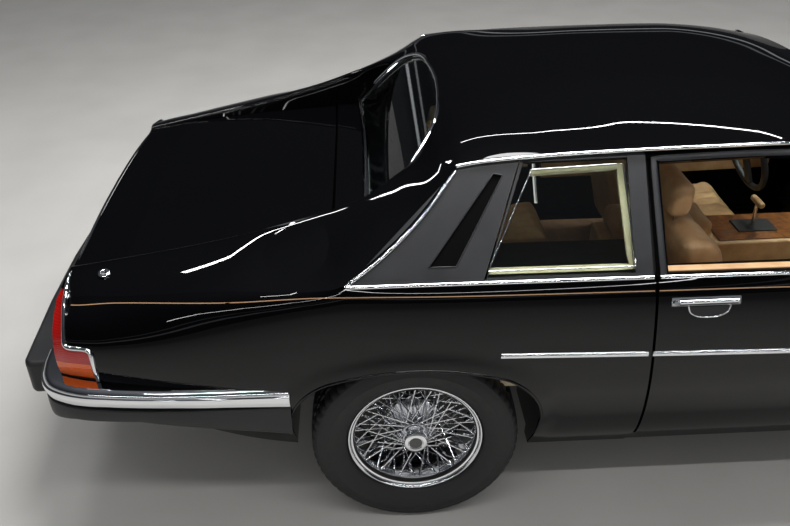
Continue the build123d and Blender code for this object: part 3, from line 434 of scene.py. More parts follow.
# points between the rear and front outlines (x as a function of z) on rows j0 to j1 of the surface
def sheetGrid(surface, j0, j1, rear, front, columns):
    j = np.arange(j0, j1 + 1)[None, :].repeat(columns, 0)
    u = np.linspace(0, 1, columns)[:, None].repeat(j1 - j0 + 1, 1)
    rear, front = np.vectorize(rear), np.vectorize(front)
    z = surface.at(np.full(u.shape, (surface.start + 600.0)), j)[..., 1]
    for _ in range(4):
        x = rear(z) * (1 - u) + front(z) * u
        yz = surface.at(x, j)
        z = yz[..., 1]
    return np.dstack([x, yz])


# the grid lifted along its unit normals, and those normals, turned the way out looks
def lifted(grid, lift, out):
    normal = np.cross(np.gradient(grid, axis=0), np.gradient(grid, axis=1))
    normal /= np.maximum(np.linalg.norm(normal, axis=2, keepdims=True), 1e-9)
    if (normal.reshape(-1, 3) @ np.array(out)).mean() < 0:
        normal = -normal
    lift = lift[..., None] if isinstance(lift, np.ndarray) else lift
    return grid + normal * lift, normal


sideways = (0, 1, 0.4)


# a closed plate over a grid of points: its outer face lifted off the grid, its inner face depth below
def thickSheet(name, grid, material, lift, depth, s=1, out=sideways):
    outer, normal = lifted(grid, lift, out)
    inner = grid - normal * depth
    a, b = grid.shape[:2]
    points = np.concatenate([outer.reshape(-1, 3), inner.reshape(-1, 3)])
    points[:, 1] *= s
    n = a * b
    faces = []
    for i in range(a - 1):
        for p in range(i * b, i * b + b - 1):
            faces.append((p, p + b, p + b + 1, p + 1))
            faces.append((n + p, n + p + 1, n + p + b + 1, n + p + b))
    rim = [i * b for i in range(a)] + [(a - 1) * b + k for k in range(1, b)]
    rim += [i * b + b - 1 for i in range(a - 2, -1, -1)] + [k for k in range(b - 2, 0, -1)]
    faces += [(p, n + p, n + q, q) for p, q in zip(rim, rim[1:] + rim[:1])]
    return closedPiece(name, points, faces, material)


def applyAll(piece):
    graph = bpy.context.evaluated_depsgraph_get()
    mesh = bpy.data.meshes.new_from_object(piece.evaluated_get(graph))
    piece.modifiers.clear()
    piece.data = mesh


def cut(piece, tool):
    change = piece.modifiers.new("cut", "BOOLEAN")
    change.operation = "DIFFERENCE"
    change.solver = "EXACT"
    change.object = tool
    applyAll(piece)
    bpy.data.objects.remove(tool)


def prismFaces(n):
    faces = [tuple(range(n)), tuple(range(2 * n - 1, n - 1, -1))]
    return faces + [(i, (i + 1) % n, (i + 1) % n + n, i + n) for i in range(n)]


# outline is in the plane across the axis: (x, z) for an axis of 1, (x, y) for 2
def prismPiece(outline, axis, low, high, material=satinBlack, name="tool"):
    points = []
    for level in (low, high):
        points += [(a, level, b) if axis == 1 else (a, b, level) for a, b in outline]
    return flatPiece(name, points, prismFaces(len(outline)), material)


def addPart(piece, body, slotName, *replaced):
    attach(piece, body)
    if replaced:
        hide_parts(*replaced)
    return piece


# a hard block with soft edges between two distances from the middle, on the hand that s gives
def addBlock(name, outline, inner, outer, look, soft, body="body", s=1, replaced=()):
    low, high = sorted((s * inner, s * outer))
    block = prismPiece(outline, 1, low, high, look[0], name)
    bevel(block, soft * mm, 3, None, True)
    return addPart(block, body, look[1], *replaced)


# gives faces that lie on the outer sheet the normals of the whole sheet, so that a cut leaves no mark
def smoothFrom(piece, grid, lift, s):
    points, normal = lifted(grid, lift, sideways)
    flip = np.array((1, s, 1))
    corners = [Vector(toMetres(p)) for p in points.reshape(-1, 3) * flip]
    normals = [Vector(n) for n in normal.reshape(-1, 3) * flip]
    a, b = grid.shape[:2]
    triangles = []
    for i in range(a - 1):
        for p in range(i * b, i * b + b - 1):
            triangles += [(p, p + b, p + b + 1), (p, p + b + 1, p + 1)]
    tree = BVHTree.FromPolygons(corners, triangles)
    mesh = piece.data
    mesh.polygons.foreach_set("use_smooth", [True] * len(mesh.polygons))
    given = []
    for face in mesh.polygons:
        for index in face.vertices:
            spot, _, hit, away = tree.find_nearest(mesh.vertices[index].co)
            three = triangles[hit]
            found = barycentric_transform(spot, *[corners[p] for p in three], *[normals[p] for p in three])
            found.normalize()
            onSheet = away < 0.0006 and found.dot(face.normal) > 0.85
            given.append(found if onSheet else face.normal.copy())
    mesh.normals_split_custom_set(given)


# Body form: the same stations as the solids, joined by smooth curves

sideRows = [
    # x, half width at the waist, bottom, half width and height of the shoulder
    (-1045, 778, 415, 688, 758), (-1010, 790, 400, 702, 770), (-850, 826, 345, 750, 794),
    (-516, 872, 250, 826, 838), (-215, 890, 215, 860, 862), (-110, 893, 205, 863, 864),
    (300, 896, 200, 866, 862), (662, 896, 200, 866, 856), (1300, 893, 200, 863, 846),
    (1905, 888, 200, 858, 832), (2300, 884, 205, 854, 816), (2700, 878, 210, 848, 792),
    (3060, 862, 225, 832, 756), (3330, 828, 260, 798, 706), (3420, 790, 300, 760, 668),
]
beltRows = [
    # x, half width and height of the line where the side ends: buttress face, then belt, then wing top
    (-1045, 672, 771), (-1010, 686, 783), (-850, 731, 808), (-516, 800, 856), (-215, 848, 884),
    (-190, 849, 889), (-110, 850, 889), (662, 850, 889), (1300, 850, 887), (1905, 838, 858),
    (2300, 828, 838), (2700, 822, 812), (3060, 808, 775), (3330, 772, 725), (3420, 740, 686),
]
sailRows = [
    # x, then half width and height of: edge, middle, crest, inner top, foot
    (-1045, 672, 771, 632, 792, 572, 808, 560, 806, 560, 800),
    (-1010, 686, 783, 646, 801, 576, 815, 564, 813, 563, 806),
    (-850, 731, 808, 680, 827, 588, 846, 576, 844, 571, 834),
    (-516, 800, 856, 728, 884, 600, 914, 588, 912, 583, 866),
    (-215, 848, 884, 747, 934, 606, 998, 594, 996, 592, 882),
    (-110, 812, 936, 724, 988, 590, 1038, 578, 1036, 592, 930),
    (-40, 776, 982, 682, 1036, 558, 1074, 544, 1072, 548, 1017),
    (30, 728, 1042, 642, 1086, 540, 1110, 482, 1106, 475, 1100),
    (92, 680, 1103, 610, 1136, 520, 1151, 364, 1160, 358, 1155),
]
roofRows = [
    # x, gutter half width and height, middle height
    (92, 680, 1103, 1168), (122, 654, 1137, 1179), (136, 646, 1147, 1184), (400, 632, 1164, 1230),
    (700, 628, 1173, 1258), (1000, 622, 1177, 1262), (1250, 606, 1164, 1241), (1432, 588, 1146, 1197),
]
waist = 610
tuckRise, tuckIn, sillIn = 90, 84, 150
arch = {
    # axle x, half length of the opening, crown height
    "rear": (0, 372, 638), "front": (2591, 386, 654),
}
flare = {"width": 62, "height": 11}
archForm = {
    # how far corners and feet lie below the crown, where corners and bends come along the half length,
    # how far the bends lie above the feet, and the height of the opening's ends
    "corner": 46, "foot": 236, "cornerAt": 0.7, "bendAt": 0.925, "bendUp": 112, "low": 250,
}
flareFade = {"from": 270, "over": 120}  # heights between which the flare comes in
skinLift, skinDepth = 2.5, 3.0  # how far a skin stands off the solids' face and reaches below it
skinColumns = {"quarter": 190, "buttress": 170, "door": 120, "wing": 160}

wideAt, lowAt, shoulderY, shoulderZ = [through(sideRows, i) for i in (1, 2, 3, 4)]
belt = [through(beltRows, i) for i in (1, 2)]
sail = [through(sailRows, i) for i in range(1, 11)]
roof = [through(roofRows, i) for i in (1, 2, 3)]
sideTuck, sideShoulder = 4, 40  # where the tuck and the shoulder come along a side section
lastSide = sideShoulder + 4


def sideSection(x):
    wide, low = wideAt(x), lowAt(x)
    tuck = (wide - tuckIn, low + tuckRise)
    shoulder = (shoulderY(x), shoulderZ(x))
    points = [(wide - sillIn, low)]
    points += linePoints(points[0], tuck, sideTuck)
    points += arcPoints(tuck, (wide, waist), shoulder, sideShoulder - sideTuck)
    points += linePoints(shoulder, (belt[0](x), belt[1](x)), 4)
    return soften(points, 5)


def sailSection(x):
    edge, middle, crest, top, foot = [(sail[i](x), sail[i + 1](x)) for i in range(0, 10, 2)]
    points = [edge, *arcPoints(edge, middle, crest, 22), *linePoints(crest, top, 3)]
    return soften(points + linePoints(top, foot, 10), 4)


# points of the arch opening, from its rear foot over the crown to its front foot
def archOutline(end, grow=0.0):
    form = archForm
    axle, half, top = arch[end]
    half, top = half + grow, top + grow
    corner, foot = top - form["corner"], top - form["foot"]
    out = half * form["cornerAt"]
    bend = (axle - half * form["bendAt"], foot + form["bendUp"])
    rearUp = [(axle - half, foot), bend, (axle - out, corner)]
    points = [(axle - half, form["low"]), rearUp[0], *arcPoints(*rearUp, 14)]
    points += arcPoints(rearUp[2], (axle, top), (axle + out, corner), 36)
    frontDown = [(2 * axle - a, b) for a, b in reversed(rearUp)]
    return points + arcPoints(*frontDown, 14) + [(axle + half, form["low"])]


# shortest way from each (x, z) to a run of points
def distanceTo(outline, x, z):
    best = np.full(x.shape, 1e9)
    for (ax, az), (bx, bz) in zip(outline, outline[1:]):
        dx, dz = bx - ax, bz - az
        t = np.clip(((x - ax) * dx + (z - az) * dz) / (dx * dx + dz * dz), 0, 1)
        best = np.minimum(best, np.hypot(x - ax - t * dx, z - az - t * dz))
    return best


# pushes the side out round an arch, in a soft band
def flareOut(grid, end):
    away = distanceTo(archOutline(end), grid[..., 0], grid[..., 2])
    band = np.clip(away / flare["width"], 0, 1)
    push = (1 - band ** 2) ** 2
    push *= np.clip((grid[..., 2] - flareFade["from"]) / flareFade["over"], 0, 1)
    grid[..., 1] += flare["height"] * push
    return grid


bodySide = Surface(sideSection, -1045, 3420)
buttress = Surface(sailSection, -1045, 92)
tailEdge = polyline([(0, -1041), (772, -1041), (822, -1011), (1200, -1011)])
doorRear = polyline([(280, 700), (290, 700), (700, 670), (860, 664), (1200, 664)])
hinge = {"x": 1933, "doorReach": 66.0, "wingReach": 60.0, "out": 48}
hingeRun = math.sqrt(hinge["doorReach"] ** 2 - hinge["out"] ** 2)
hingeStay = math.sqrt(hinge["wingReach"] ** 2 - hinge["out"] ** 2)
shut = 8
wingFront = 3307.0
roofEnds = {"rear": 92, "front": 1432, "rearMiddle": 1168}
roofForm = {"blend": 520, "crown": 2.6, "headReach": 665, "crowding": 1.15, "lift": 5.0, "depth": 17.0}
lampHoles = {
    # openings for the tail lamps in the side skin, and in the buttress skin
    "side": [
        [(-1100, 575), (-924, 575), (-924, 680), (-1100, 680)],
        [(-1100, 670), (-1006, 670), (-1006, 772), (-990, 800), (-1100, 800)],
    ],
    "top": [(-1100, 740), (-1006, 740), (-1006, 772), (-992, 796), (-1100, 796)],
}
# how far across a cut reaches, measured from the middle
archCut, lampCut, topCut = (300, 1100), (590, 1000), (596, 1000)


# takes a form with this outline out of a skin on the hand that s gives
def cutSide(skin, outline, reach, s):
    cut(skin, prismPiece(outline, 1, s * reach[0], s * reach[1]))


def cutArch(skin, end, s):
    axle, half, _ = arch[end]
    feet = [(axle + half, -50), (axle - half, -50)]
    cutSide(skin, archOutline(end) + feet, archCut, s)


def quarterSkins(hand, s):
    columns = skinColumns["quarter"]
    grid = sheetGrid(bodySide, 0, lastSide, tailEdge, lambda z: doorRear(z) - shut, columns)
    grid = flareOut(grid, "rear")
    skin = thickSheet(f"quarter_skin_{hand}", grid, paint, skinLift, skinDepth, s)
    cutArch(skin, "rear", s)
    for outline in lampHoles["side"]:
        cutSide(skin, outline, lampCut, s)
    smoothFrom(skin, grid, skinLift, s)
    addPart(skin, "body", "paint")
    # the skin rises by another 3 mm over its first 16 rows
    rows, columns = 36, skinColumns["buttress"]
    grid = sheetGrid(buttress, 0, rows - 1, tailEdge, lambda z: float(roofEnds["rear"]), columns)
    rise = np.tile(skinLift + 3.0 * np.clip(np.arange(rows) / 16, 0, 1), (columns, 1))
    skin = thickSheet(f"buttress_skin_{hand}", grid, paint, rise, 2.0, s)
    cutSide(skin, lampHoles["top"], topCut, s)
    smoothFrom(skin, grid, rise, s)
    addPart(skin, "body", "paint")


def doorSkin(hand, s):
    frontX = hinge["x"] - hingeRun
    front = polyline([(280, 1798), (420, 1866), (560, frontX), (1200, frontX)])
    columns = skinColumns["door"]
    grid = sheetGrid(bodySide, sideTuck, lastSide, lambda z: doorRear(z) + 0.3, front, columns)
    skin = thickSheet(f"door_skin_{hand}", grid, paint, skinLift, skinDepth, s)
    addPart(skin, f"door_{hand}", "paint")


def wingSkin(hand, s):
    rearX = hinge["x"] - hingeStay
    rear = polyline([(280, 1808), (420, 1876), (560, rearX), (1200, rearX)])
    columns = skinColumns["wing"]
    grid = flareOut(sheetGrid(bodySide, 0, lastSide, rear, lambda z: wingFront, columns), "front")
    skin = thickSheet(f"wing_skin_{hand}", grid, paint, skinLift, skinDepth, s)
    cutArch(skin, "front", s)
    smoothFrom(skin, grid, skinLift, s)
    addPart(skin, "body", "paint")


# Roof with the curved head of the rear window cut into its back edge

windowSide = [
    (-139, 600, 897), (-110, 592, 930), (-40, 548, 1017), (30, 475, 1100), (92, 358, 1155),
    (124, 148, 1171), (131, 0, 1175),
]
headX = polyline([(0, 131), (148, 124), (260, 109), (358, 92), (2000, 92)])


def roofShape():
    samples = buttress.rows[-1][:26]
    wide, low = samples[0]
    outer = [(y / wide, (z - low) / (roofEnds["rearMiddle"] - low)) for y, z in samples]
    lastShare, lastRise = outer[-1]
    inner = np.linspace(lastShare, 0, 14)[1:]
    return outer + [(share, 1 - (1 - lastRise) * (share / lastShare) ** 2) for share in inner]


def roofPoint(x, share, rise):
    blend = min(1.0, max(0.0, (x - roofEnds["rear"]) / roofForm["blend"]))
    blend = blend * blend * (3 - 2 * blend)
    crown = 1 - abs(share) ** roofForm["crown"]
    wide, low, top = [column(x) for column in roof]
    return (x, share * wide, low + (top - low) * (rise * (1 - blend) + crown * blend))


def makeRoof():
    half = roofShape()
    shares = half + [(-share, rise) for share, rise in reversed(half[:-1])]
    columns = 90
    grid = np.zeros((columns, len(shares), 3))
    for k, (share, rise) in enumerate(shares):
        start = headX(abs(share) * roofForm["headReach"])
        for i in range(columns):
            t = (i / (columns - 1)) ** roofForm["crowding"]
            grid[i, k] = roofPoint(start + (roofEnds["front"] - start) * t, share, rise)
    skin = thickSheet("roof_skin", grid, paint, roofForm["lift"], roofForm["depth"], 1, out=(0, 0, 1))
    addPart(skin, "body", "paint", "roof")
    return grid


for hand, s in hands:
    quarterSkins(hand, s)
    doorSkin(hand, s)
    wingSkin(hand, s)
roofGrid = makeRoof()
print("body skins made")


# Bright trim, lamps and bumpers

# half width of the dressed side at x and z
def sideAt(x, z):
    row = bodySide.at(np.array(float(x)), np.arange(sideTuck, lastSide + 1))
    y = float(np.interp(z, row[:, 1], row[:, 0]))
    for end, (axle, half, top) in arch.items():
        if abs(x - axle) > half + flare["width"] or z > top + flare["width"]:
            continue
        away = float(distanceTo(archOutline(end), np.array([float(x)]), np.array([float(z)]))[0])
        if away < flare["width"]:
            y += flare["height"] * (1 - (away / flare["width"]) ** 2) ** 2
    return y + skinLift


def sideNormal(x, z):
    d = 4.0
    return (sideAt(x - d, z) - sideAt(x + d, z), 2 * d, sideAt(x, z - d) - sideAt(x, z + d))


# a line of (x, z) laid on the side with the way out at each point; a skin stands off along its
# normal, which sideAt gives sideways
def onSide(line, lift=0.0):
    path, out = [], []
    for x, z in line:
        out.append(sideNormal(x, z))
        nx, ny, nz = Vector(out[-1]).normalized()
        off = skinLift + lift
        path.append((x + nx * off, sideAt(x, z) - skinLift + ny * off, z + nz * off))
    return path, out


# an even run of points through a few given ones
def curve(points, count):
    points = np.array(points, float)
    reach = np.concatenate([[0], np.cumsum(np.linalg.norm(np.diff(points, axis=0), axis=1))])
    rows = [(r, *p) for r, p in zip(reach, points)]
    ways = [through(rows, i + 1) for i in range(points.shape[1])]
    return [tuple(way(d) for way in ways) for d in np.linspace(0, reach[-1], count)]


# a half and its mirror image across the middle, as one run; the half ends on the middle
def mirrored(half):
    return [*half, *[(p[0], -p[1], *p[2:]) for p in reversed(half[:-1])]]


# faces that join a run of sections of m points each, closed at its ends unless it meets itself
def ringFaces(count, m, closed=False):
    faces = []
    for i in range(count if closed else count - 1):
        a, c = i * m, (i + 1) % count * m
        faces += [(a + k, a + (k + 1) % m, c + (k + 1) % m, c + k) for k in range(m)]
    if not closed:
        faces += [tuple(range(m)), tuple(range((count - 1) * m, count * m))]
    return faces


# a strip along a path; out is one way or one for each point, the section is (across, out) pairs
def sweep(name, path, out, section, material, s=1, closed=False):
    path = np.array(path, float)
    out = np.array(out, float)
    if out.ndim == 1:
        out = np.tile(out, (len(path), 1))
    if closed:
        ahead = np.roll(path, -1, 0) - np.roll(path, 1, 0)
    else:
        ahead = np.gradient(path, axis=0)
    ahead /= np.linalg.norm(ahead, axis=1, keepdims=True)
    out -= ahead * (out * ahead).sum(1, keepdims=True)
    out /= np.linalg.norm(out, axis=1, keepdims=True)
    across = np.cross(ahead, out)
    points = np.array([p + b * u + n * v for p, n, b in zip(path, out, across) for u, v in section])
    points[:, 1] *= s
    return closedPiece(name, points, ringFaces(len(path), len(section), closed), material, 40)


def addStrip(name, path, out, section, look, s=1, body="body", closed=False, replaced=()):
    return addPart(sweep(name, path, out, section, look[0], s, closed), body, look[1], *replaced)


def halfRound(width, height, sink=1.5, count=6):
    half = width / 2
    turns = [math.pi * i / count for i in range(count + 1)]
    return [(-half, -sink), *[(-half * math.cos(t), height * math.sin(t)) for t in turns], (half, -sink)]


coachLine = [
    (-985, 775), (-850, 797), (-516, 836), (-193, 864), (65, 860), (646, 855), (1031, 852), (1500, 838),
    (1905, 824), (2300, 806), (2700, 782), (3060, 746),
]
moulding = [(234, 675), (655, 664), (1066, 655), (1885, 640), (2185, 634)]
lineSection = [(-1.3, -1.5), (-1.3, 0.7), (1.3, 0.7), (1.3, -1.5)]
sideRuns = {
    # name: (rear, front) on the quarter panel, door and front wing
    "quarter": (-985, 654), "door": (665, 1884), "wing": (1897, 3060),
}
beltRuns = {"quarter": (-188, 650), "door": (668, 1862)}
upperTrim = {
    # name: (points, how many along it, way out, section)
    "sail_strip": (
        [(-192, 849, 890), (-95, 805, 947), (-1, 752, 1016), (79, 695, 1091), (122, 655, 1134)],
        40, (0, 0.75, 0.66), halfRound(11, 5, 5),
    ),
    "drip_rail": (
        [
            (124, 651, 1146), (150, 649, 1150), (327, 641, 1163), (638, 636, 1173), (1000, 630, 1177),
            (1250, 614, 1165), (1425, 596, 1146),
        ],
        60, (0, 0.9, 0.4), halfRound(12, 7, 7, 8),
    ),
}


def sideStrip(name, points, x0, x1, section, look, s, body, step=30):
    height = through(points, 1)
    xs = np.linspace(x0 + 1, x1 - 1, max(3, int((x1 - x0 - 2) / step)))
    path, out = onSide([(x, height(x)) for x in xs])
    addStrip(name, path, out, section, look, s, body)


def sideTrim(hand, s):
    bodies = {"quarter": "body", "door": f"door_{hand}", "wing": "body"}
    for run, (x0, x1) in sideRuns.items():
        body = bodies[run]
        sideStrip(f"coach_line_{run}_{hand}", coachLine, x0, x1, lineSection, copperLine, s, body, 12)
        start, stop = max(x0, moulding[0][0]), min(x1, moulding[-1][0])
        section = halfRound(17, 5.5)
        sideStrip(f"side_moulding_{run}_{hand}", moulding, start, stop, section, chrome, s, body)
    for run, (x0, x1) in beltRuns.items():
        path = [(x, belt[0](x) + 3.0, belt[1](x) + 2) for x in np.linspace(x0, x1, 50)]
        section = halfRound(11, 4, 4)
        addStrip(f"belt_strip_{run}_{hand}", path, (0, 0.7, 0.7), section, chrome, s, bodies[run])
    for name, (points, count, out, section) in upperTrim.items():
        addStrip(f"{name}_{hand}", curve(points, count), out, section, chrome, s)
    for end in arch:
        rim = [(x, sideAt(x, z) - 1.0, z) for x, z in archOutline(end, 1.5) if z > 262]
        addStrip(f"arch_lip_{end}_{hand}", rim, (0, 1, 0), halfRound(9, 4.5, 14, 8), painted, s)


for hand, s in hands:
    sideTrim(hand, s)


# Rear window: a flat pane in a chrome frame, set in a rubber seal

def makeRearWindow():
    edge = curve(windowSide, 46)
    columns = 40
    grid = np.zeros((len(edge), columns, 3))
    for i, (x, y, z) in enumerate(edge):
        for k in range(columns):
            share = -1 + 2 * k / (columns - 1)
            grid[i, k] = (x + 3, y * share * 0.995, z - 4)
    pane = thickSheet("rear_window_glass", grid[:-1], paneGlass, 0.0, 4.0, 1, out=(-0.7, 0, 0.7))
    addPart(pane, "body", "glass", "rear_window")
    out, lift = (-0.72, 0, 0.69), 4.0
    whole = mirrored([(x - 0.72 * lift, y, z + 0.69 * lift) for x, y, z in edge])
    foot = [(-139, -600, 897), (-124, -300, 902), (-120, 0, 905), (-124, 300, 902), (-139, 600, 897)]
    addStrip(
        "rear_window_frame", whole + curve(foot, 30)[1:-1], out, halfRound(15, 8, 10, 8), chrome,
        closed=True, replaced=("rear_window_surround",),
    )
    inner = [(x + 5, y * 0.98, z - 5) for x, y, z in whole]
    addStrip("rear_window_seal", inner, out, halfRound(14, 3, 10), rubber)


makeRearWindow()


# Tail lamps: red over amber lens with a chrome frame

# a turned piece round its own Z from (height, radius) pairs
def revolved(name, profile, count, material, crease=40):
    points, faces = [], []
    m = len(profile)
    for i in range(count):
        t = math.tau * i / count
        points += [(r * math.cos(t) * mm, r * math.sin(t) * mm, h * mm) for h, r in profile]
        a, c = i * m, (i + 1) % count * m
        faces += [(a + k, c + k, c + k + 1, a + k + 1) for k in range(m - 1)]
    mesh = bpy.data.meshes.new(name)
    mesh.from_pydata(points, [], faces)
    shape = bmesh.new()
    shape.from_mesh(mesh)
    bmesh.ops.remove_doubles(shape, verts=shape.verts, dist=1e-6)
    bmesh.ops.holes_fill(shape, edges=shape.edges)
    bmesh.ops.recalc_face_normals(shape, faces=shape.faces)
    shape.to_mesh(mesh)
    shape.free()
    smoothMesh(mesh, crease)
    mesh.materials.append(material)
    return place(name, mesh)


def addTurned(name, profile, count, look, spot, tip=0.0):
    piece = revolved(name, profile, count, look[0])
    piece.location = toMetres(spot)
    piece.rotation_euler = (math.radians(tip), 0, 0)
    return addPart(piece, "body", look[1])


lampLevels = {"amberTop": 0.628, "redFoot": 0.680}  # metres
lampEdge = [
    (-1004, 796), (-1004, 740), (-1004, 692), (-996, 682), (-940, 681), (-926, 672), (-923, 620),
    (-922, 574),
]


def makeTailLamps():
    source = nodes["tail_lamps"]
    mesh = source.data.copy()
    mesh.transform(source.matrix_world)
    shape = bmesh.new()
    shape.from_mesh(mesh)
    for level in lampLevels.values():
        geometry = shape.verts[:] + shape.edges[:] + shape.faces[:]
        bmesh.ops.bisect_plane(shape, geom=geometry, plane_co=(0, 0, level), plane_no=(0, 0, 1))
    shape.to_mesh(mesh)
    shape.free()
    mesh.materials.clear()
    mesh.materials.append(redLens)
    mesh.materials.append(amberLens)
    for face in mesh.polygons:
        face.material_index = 1 if face.center.z < lampLevels["amberTop"] else 0
    smoothMesh(mesh, 35)
    lamps = place("tail_lamp_lenses", mesh)
    bevel(lamps, 0.006, 3, 50)
    addPart(lamps, "body", "red_lens", "tail_lamps")
    path = [(-1012, 600, 815), (-1010, 640, 808), *[(x, sideAt(x, z) + 3, z) for x, z in lampEdge]]
    for hand, s in hands:
        addStrip(
            f"tail_lamp_trim_{hand}", curve(path, 60), (-0.3, 0.9, 0.3), halfRound(13, 5, 8), chrome, s,
        )
    lock = [(0, 17), (3, 17), (5, 14), (5, 9), (8, 8), (11, 6), (12, 0)]
    addTurned("filler_lock_right", lock, 20, chrome, (-898, -644, 836), 18)


# bright strip along the boot lid's trailing edge
def makeBootStrip():
    edge = curve([(-1009, 553, 808), (-1012, 400, 821), (-1014, 200, 832), (-1014, 0, 836)], 24)
    section = halfRound(9, 4, 3)
    addStrip("boot_edge_strip", mirrored(edge), (-0.75, 0, 0.66), section, chrome, body="boot_lid")


makeTailLamps()
makeBootStrip()


# Bumpers: rounded chrome blades over rubber, between them a plain beam

bumpers = {
    # outer line from above, then (lower edge as height against x, top) of rubber and blade, the radius
    # of the blade's upper edge, and half of the beam from above
    "rear": {
        "plan": [
            (-366, 893), (-578, 893), (-785, 885), (-882, 875), (-971, 860), (-1034, 838), (-1080, 808),
            (-1108, 765), (-1124, 705), (-1130, 640),
        ],
        "rubber": ([(-1130, 428), (-1100, 434), (-1000, 456), (-805, 462), (-600, 434), (-366, 402)], 505),
        "blade": ([(-1130, 507), (-1050, 510), (-900, 515), (-700, 516), (-500, 511), (-366, 506)], 570),
        "bladeEdge": 22,
        "beam": [(-1000, 636), (-1138, 660), (-1188, 664), (-1206, 640), (-1230, 300), (-1238, 0)],
    },
    "front": {
        "plan": [
            (3056, 893), (3200, 891), (3300, 884), (3380, 868), (3440, 842), (3490, 803), (3525, 750),
            (3545, 700), (3558, 640),
        ],
        "rubber": ([(3056, 402), (3558, 402)], 505),
        "blade": ([(3056, 506), (3558, 506)], 533),
        "bladeEdge": 8,
        "beam": [(3390, 636), (3560, 660), (3600, 640), (3616, 300), (3620, 0)],
    },
}


# the point behind a point of the bumper's outer line, just inside the body
def innerOf(x, y, end):
    if end == "rear" and x < -985:
        return (-1012 + (x + 1130) * 0.12, min(y, 770) - 18)
    if end == "front" and x > 3330:
        return (3396 - (3558 - x) * 0.12, min(y, 770) - 18)
    return (x, sideAt(x, 560) - 14)


# low and high are the radii of the lower and upper outer edges
def bumperBand(name, end, lower, z1, inset, rise, low, high, look, s):
    sections = []
    quarter = math.pi / 2
    for x, y in curve(bumpers[end]["plan"], 90):
        ix, iy = innerOf(x, y, end)
        out = np.array((x - ix, y - iy))
        reach = np.linalg.norm(out)
        out /= reach
        far = reach - inset
        z0 = polyline(lower)(x)
        tall = z1 - z0
        run = [(0, z0)]
        run += [
            (far - low + low * math.sin(t), z0 + low - low * math.cos(t))
            for t in np.linspace(0, quarter, 5)
        ]
        run += [(far + rise * 0.75, z0 + tall * 0.35), (far + rise, (z0 + z1) / 2)]
        run += [(far + rise * 0.75, z0 + tall * 0.65)]
        run += [
            (far - high + high * math.cos(t), z1 - high + high * math.sin(t))
            for t in np.linspace(0, quarter, 7)
        ]
        run += [(0, z1)]
        sections.append([(ix + out[0] * d, iy + out[1] * d, z) for d, z in run])
    points = np.array([p for row in sections for p in row])
    points[:, 1] *= s
    faces = ringFaces(len(sections), len(sections[0]))
    return addPart(closedPiece(name, points, faces, look[0], 45), "body", look[1])


def makeBumpers():
    for end, parts in bumpers.items():
        for hand, s in hands:
            edges = (6, parts["bladeEdge"])
            bumperBand(f"{end}_blade_{hand}", end, *parts["blade"], 7, 7, *edges, chrome, s)
            bumperBand(f"{end}_bumper_rubber_{hand}", end, *parts["rubber"], 6, 1, 10, 4, rubber, s)
        beam = prismPiece(mirrored(parts["beam"]), 2, 413, 532, bumperRubber, f"{end}_bumper_beam")
        bevel(beam, 0.014, 4)
        addPart(beam, "body", "bumper_rubber", f"{end}_bumper", f"{end}_blades")


makeBumpers()
print("trim, lamps and bumpers made")


# Wire wheels and tyres, built about their own axis and set in place four times

wheelSpec = {
    # places are (height along the axle, radius)
    "spokes": 72, "wire": 2.3, "nipple": 4.2, "outerLean": 62, "innerLean": 34,
    "hubOuter": (68, 41), "hubInner": (-12, 80), "rimOuter": (54, 186), "rimInner": (6, 178),
}
tyreSpec = {"segments": 240, "sipe": 5.0, "groove": 7.0}
tracks = {"rear": (0, 752), "front": (2591, 744)}
axleHeight = 320
rimProfile = [
    (84, 208), (88, 208), (90, 206), (90, 203), (88, 200), (84, 198), (76, 197), (71, 192), (60, 187),
    (40, 183), (20, 179), (-6, 177), (-40, 181), (-70, 190), (-84, 198), (-89, 203), (-89, 208),
    (-84, 208), (-78, 190), (-60, 189), (0, 187), (60, 190), (79, 191), (84, 208),
]
hubProfile = [
    (-54, 29.2), (-54, 62), (-40, 70), (-22, 84), (-14, 86), (-6, 84), (2, 76), (20, 62), (44, 50),
    (58, 46), (66, 46), (70, 44), (76, 42), (82, 38), (86, 37), (86, 30), (60, 29.2), (-54, 29.2),
]
capProfile = [(84, 0), (84, 35), (92, 36), (100, 36), (105, 34), (107, 30), (107, 24), (105, 22), (105, 0)]
discProfile = [(104, 0), (104, 21), (106.4, 20), (106.8, 0)]
tyreWall = [
    (79.5, 189), (79.5, 209), (86, 211), (93, 212), (98, 216), (101, 224), (107, 234), (112, 246),
    (115, 258), (116, 264), (116.5, 266), (115.5, 268), (114, 280), (111, 289), (108, 297), (109, 299),
    (107, 303),
]


# adds a closed bar between two points to the lists
def tube(start, end, radius, sides, points, faces):
    axis = (end - start).normalized()
    u = axis.orthogonal().normalized()
    v = axis.cross(u)
    base = len(points)
    for p in (start, end):
        for i in range(sides):
            t = math.tau * i / sides
            points.append(tuple(p + (u * math.cos(t) + v * math.sin(t)) * radius))
    top = base + sides
    for i in range(sides):
        k = (i + 1) % sides
        faces.append((base + i, base + k, top + k, top + i))
    faces += [tuple(base + i for i in reversed(range(sides))), tuple(top + i for i in range(sides))]


# a point at an angle round the axle, from (height along it, radius)
def roundAxle(spot, turn):
    height, radius = spot
    return Vector((radius * math.cos(turn), radius * math.sin(turn), height))


